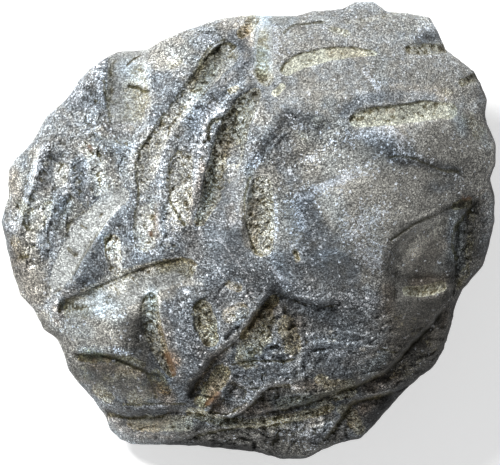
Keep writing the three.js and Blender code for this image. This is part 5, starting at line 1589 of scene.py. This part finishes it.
# painted shade makes the skin darker in hollows, and crests are painted lighter
HOLLOW_SHADE_STOPS, CREST_STOPS = 1.5, 0.7     # darker in a full hollow, lighter on a full crest
DUST_COVER = 0.45                # how much of what is under it dust hides
DUST_FROM_HOLLOWS = 0.12         # how much of it is missing in a full hollow
# dirt and painted shade: olive laid into hollows, at the feet of cliffs, along seams and on rough ground
DIRT_AND_SHADE_IN_HOLLOWS, DIRT_DRAWN, DIRT_ON_ROUGH = 0.5, 0.6, 0.12
# below the first number there is none, above the second it is full
BLUE_RANGE, DUST_RANGE, DIRT_RANGE = (0.1, 0.9), (0.18, 0.28), (0.25, 0.7)
HOLLOW_RANGE, CREST_RANGE = (0.05, 0.9), (0.1, 0.9)

clouds = bench.noise(CLOUD_SIZE, detail=4)
mottle = bench.noise(MOTTLE_SIZE, detail=5, roughness=0.62)
grain = bench.noise(GRAIN_SIZE, detail=3, roughness=0.6)
speckle = bench.noise(SPECKLE_SIZE, detail=2, roughness=0.7)
hollow = bench.attribute("hollow")
rough_wire = bench.attribute("rough")
grit_wire = bench.attribute("grit")


def noise_mix(name):
    """The four sizes of noise, mixed by that recipe."""
    parts = zip((clouds, mottle, grain, speckle), NOISE_MIXES[name])
    first, *others = [noise * weight for noise, weight in parts if weight]
    return sum(others, first)


blue = bench.step(bench.attribute("blueness") + noise_mix("blueness"), *BLUE_RANGE)
skin = bench.mix(blue, BROWN_GREY, BLUE_GREY)
stops = bench.attribute("lightness") + noise_mix("lightness")
# painted shade darkens hollows, and crests are painted lighter
stops = stops - bench.step(hollow, *HOLLOW_RANGE) * HOLLOW_SHADE_STOPS
stops = stops + bench.step(0 - hollow, *CREST_RANGE) * CREST_STOPS
skin = bench.lit(skin, stops)
dust = bench.step(noise_mix("dust") - hollow * DUST_FROM_HOLLOWS, *DUST_RANGE)
skin = bench.mix(dust * DUST_COVER, skin, DUST_BEIGE)
# the mask of dirt and painted shade
dirt = hollow * DIRT_AND_SHADE_IN_HOLLOWS + bench.attribute("dirt") * DIRT_DRAWN + rough_wire * DIRT_ON_ROUGH
dirt = bench.step(dirt + noise_mix("dirt"), *DIRT_RANGE)
print("nodes for the skin:", len(bench.tree.nodes))

# %% [markdown]
# ## Limestone: crystal flecks
# Each fleck is a grain whose random value is high enough, or a high spot of a rough noise. Where
# flecks are painted the limit is lower, so more of them show.

# %% Limestone: crystal flecks
FLECK_WHITE = (0.66, 0.7, 0.75, 1)
FLECK_SIZE, DOT_SIZE = 1.2 * MM, 0.75 * MM
FLECK_PULL = 0.22                # how much a painted fleck stroke lowers the limit
FLECK_COVER = 0.85
FLECK_LIMIT, DOT_LIMIT = (0.22, 0.26), (0.47, 0.49)

fleck_field = bench.noise(FLECK_SIZE, detail=5, roughness=0.8) + noise_mix("flecks")
fleck_pull = bench.attribute("flecks") * FLECK_PULL
fleck_dots = bench.step(bench.grains(DOT_SIZE) + fleck_pull, *DOT_LIMIT)
fleck_spots = bench.step(fleck_field + fleck_pull, *FLECK_LIMIT)
fleck_amount = bench.step(fleck_dots + fleck_spots, 0.0, 1.0)
skin = bench.mix(fleck_amount * FLECK_COVER, skin, FLECK_WHITE)
print("nodes with the flecks:", len(bench.tree.nodes))

# %% [markdown]
# ## Limestone: fill
# The sediment in the borings runs from dark brown through tan to chalk. It is crumbly, with small
# dark pits and hair cracks where it is gritty, and warmer fills are tinted cream. In hollows it is
# painted darker, as shade.

# %% Limestone: fill
CREAM_TINT = (1.0, 0.985, 0.84, 1)
# the olive of dirt and of painted shade
DIRT_AND_SHADE_OLIVE = (0.1, 0.093, 0.05, 1)
DIRT_COVER = 0.65
CRUMB_SIZE, CRACK_SIZE = 1.7 * MM, 3.0 * MM
CRACK_WIDTH = 0.0016             # of the squared noise
PIT_LIMIT, PIT_GRIT = (-0.24, -0.14), (0.2, 1.0)
PIT_MOTTLE = 0.5                 # how much the mottle gathers the pits in groups
# the last of these paints the fill darker in hollows, as shade
PIT_DARK, CRACK_DARK, HOLLOW_SHADE_IN_FILL = 0.3, 0.3, 0.6
FILL_HOLLOW_RANGE, FILL_EDGE = (0.1, 0.8), (0.35, 0.65)
FLOURY_UNEVENNESS, GRIT_UNEVENNESS = 0.4, 0.8    # of the colour: without grit, and added by grit
FILL_STOPS = [
    (0.0, (0.057, 0.05, 0.032)),
    (0.25, (0.178, 0.16, 0.112)),
    (0.5, (0.335, 0.332, 0.295)),
    (0.75, (0.47, 0.482, 0.475)),
    (1.0, (0.65, 0.677, 0.675)),
]

crumbs = bench.noise(CRUMB_SIZE, detail=5, roughness=0.72)
pit_amount = 1 - bench.step(crumbs + mottle * PIT_MOTTLE, *PIT_LIMIT)
pit_amount = pit_amount * bench.step(grit_wire, *PIT_GRIT)
unevenness = grit_wire * GRIT_UNEVENNESS + FLOURY_UNEVENNESS
paleness = bench.attribute("paleness") + noise_mix("paleness") * unevenness
crack_line = bench.noise(CRACK_SIZE, detail=3, roughness=0.6)
cracks = (1 - bench.step(crack_line * crack_line, 0.0, CRACK_WIDTH)) * grit_wire
paleness = paleness - pit_amount * PIT_DARK - cracks * CRACK_DARK
# painted shade: the fill is darker in hollows
paleness = paleness - bench.step(hollow, *FILL_HOLLOW_RANGE) * HOLLOW_SHADE_IN_FILL
fill_colour = bench.node("ShaderNodeValToRGB", {"stops": FILL_STOPS}, {0: paleness})
cream = bench.mix(1.0, fill_colour, CREAM_TINT, "MULTIPLY")
fill_colour = bench.mix(bench.attribute("warmth"), fill_colour, cream)
fill_amount = bench.step(bench.attribute("fill") + noise_mix("fill"), *FILL_EDGE)
colour = bench.mix(fill_amount, skin, fill_colour)
# dirt and painted shade laid over the colour
colour = bench.mix(dirt * DIRT_COVER, colour, DIRT_AND_SHADE_OLIVE)
print("nodes with the fill:", len(bench.tree.nodes))

# %% [markdown]
# ## Limestone: grain and patches
# Up close the stone glitters: light and dark chips, dots and grains of several sizes lie over skin
# and fill alike, weaker on smooth ground. The painted patches make the colour lighter or darker, with
# painted light and shade among them, and warmer or cooler, and rust comes last.

# %% Limestone: grain and patches
RUST_BROWN = (0.2, 0.105, 0.05, 1)
RUST_COVER = 0.75
HUE_FULL = 0.17                  # stops more red and less blue in a patch of hue 1
RUST_RANGE = (0.2, 0.8)
# chips and dots: size, detail and roughness of their noise, where the light ones begin and are full
# and their stops, then the same for the dark ones
SPOTS = [
    (1.2 * MM, 4, 0.75, (0.13, 0.18), 0.3, (-0.14, -0.19), 0.6),
    (0.55 * MM, 1, 0.5, (0.16, 0.24), 0.7, (-0.16, -0.24), 0.9),
]
# size of the grains, and the stops from the darkest to the lightest
GRAINS = [(0.8 * MM, 0.2), (2.0 * MM, 0.2), (0.4 * MM, 3.4)]
SMOOTH_GLITTER, UNEVEN_GLITTER = 0.4, 0.7
GLITTER_MEAN = 0.06              # stops that the glitter would add on average

glitter = 0
for size, detail, fineness, light, light_stops, (dark_start, dark_full), dark_stops in SPOTS:
    spots = bench.noise(size, detail, fineness)
    glitter = bench.step(spots, *light) * light_stops + glitter
    glitter = glitter - (1 - bench.step(spots, dark_full, dark_start)) * dark_stops
for size, strength in GRAINS:
    glitter = glitter + bench.grains(size) * strength
glitter = glitter * (bench.attribute("uneven") * UNEVEN_GLITTER + SMOOTH_GLITTER) - GLITTER_MEAN
# the patches' painted light and shade and real patches, the rim's painted shade, and the glitter
colour = bench.lit(colour, bench.attribute("tone") + glitter)
hue_stops = bench.attribute("hue") * HUE_FULL
tint = bench.node("ShaderNodeCombineColor", {}, {0: 2**hue_stops, 1: 1.0, 2: 2 ** (0 - hue_stops)})
colour = bench.mix(1.0, colour, tint, "MULTIPLY")
rust_amount = bench.step(bench.attribute("rust") + noise_mix("rust"), *RUST_RANGE)
colour = bench.mix(rust_amount * RUST_COVER, colour, RUST_BROWN)
bench.plug(bench.surface.inputs["Base Color"], colour)
print("nodes for the colour:", len(bench.tree.nodes))

# %% [markdown]
# ## Limestone: sheen and fine relief
# Dry limestone is dull, and its fill is duller than its skin. Relief finer than the mesh's triangles
# is a bump: mottle and grain everywhere, crumbs and pits in the fill.

# %% Limestone: sheen and fine relief
SKIN_ROUGHNESS, FILL_ROUGHNESS_ADDED = 0.62, 0.25
SHEEN = 0.35
FILL_ROUGHNESS_RANGE = (-0.5, 1.2)
BUMP_HEIGHT = 1.0 * MM
PIT_DEPTH, CRUMB_RISE, ROUGH_RISE = 0.35, 0.9, 0.5     # in bump heights

dullness = bench.step(fill_amount + grain, *FILL_ROUGHNESS_RANGE)
roughness = dullness * FILL_ROUGHNESS_ADDED + SKIN_ROUGHNESS
bench.plug(bench.surface.inputs["Roughness"], roughness)
bench.surface.inputs["Specular IOR Level"].default_value = SHEEN
bumps = noise_mix("relief") - pit_amount * fill_amount * PIT_DEPTH
bumps = bumps + fill_amount * grit_wire * crumbs * CRUMB_RISE + rough_wire * mottle * ROUGH_RISE
bump = bench.node("ShaderNodeBump", {}, {"Height": bumps, "Strength": 1.0, "Distance": BUMP_HEIGHT})
bench.plug(bench.surface.inputs["Normal"], bump)

stone.data.materials.clear()
stone.data.materials.append(bench.material)
print("nodes in the limestone:", len(bench.tree.nodes))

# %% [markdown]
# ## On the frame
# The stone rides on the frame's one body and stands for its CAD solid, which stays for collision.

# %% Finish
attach(stone, "root")
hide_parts(STONE_NODE)
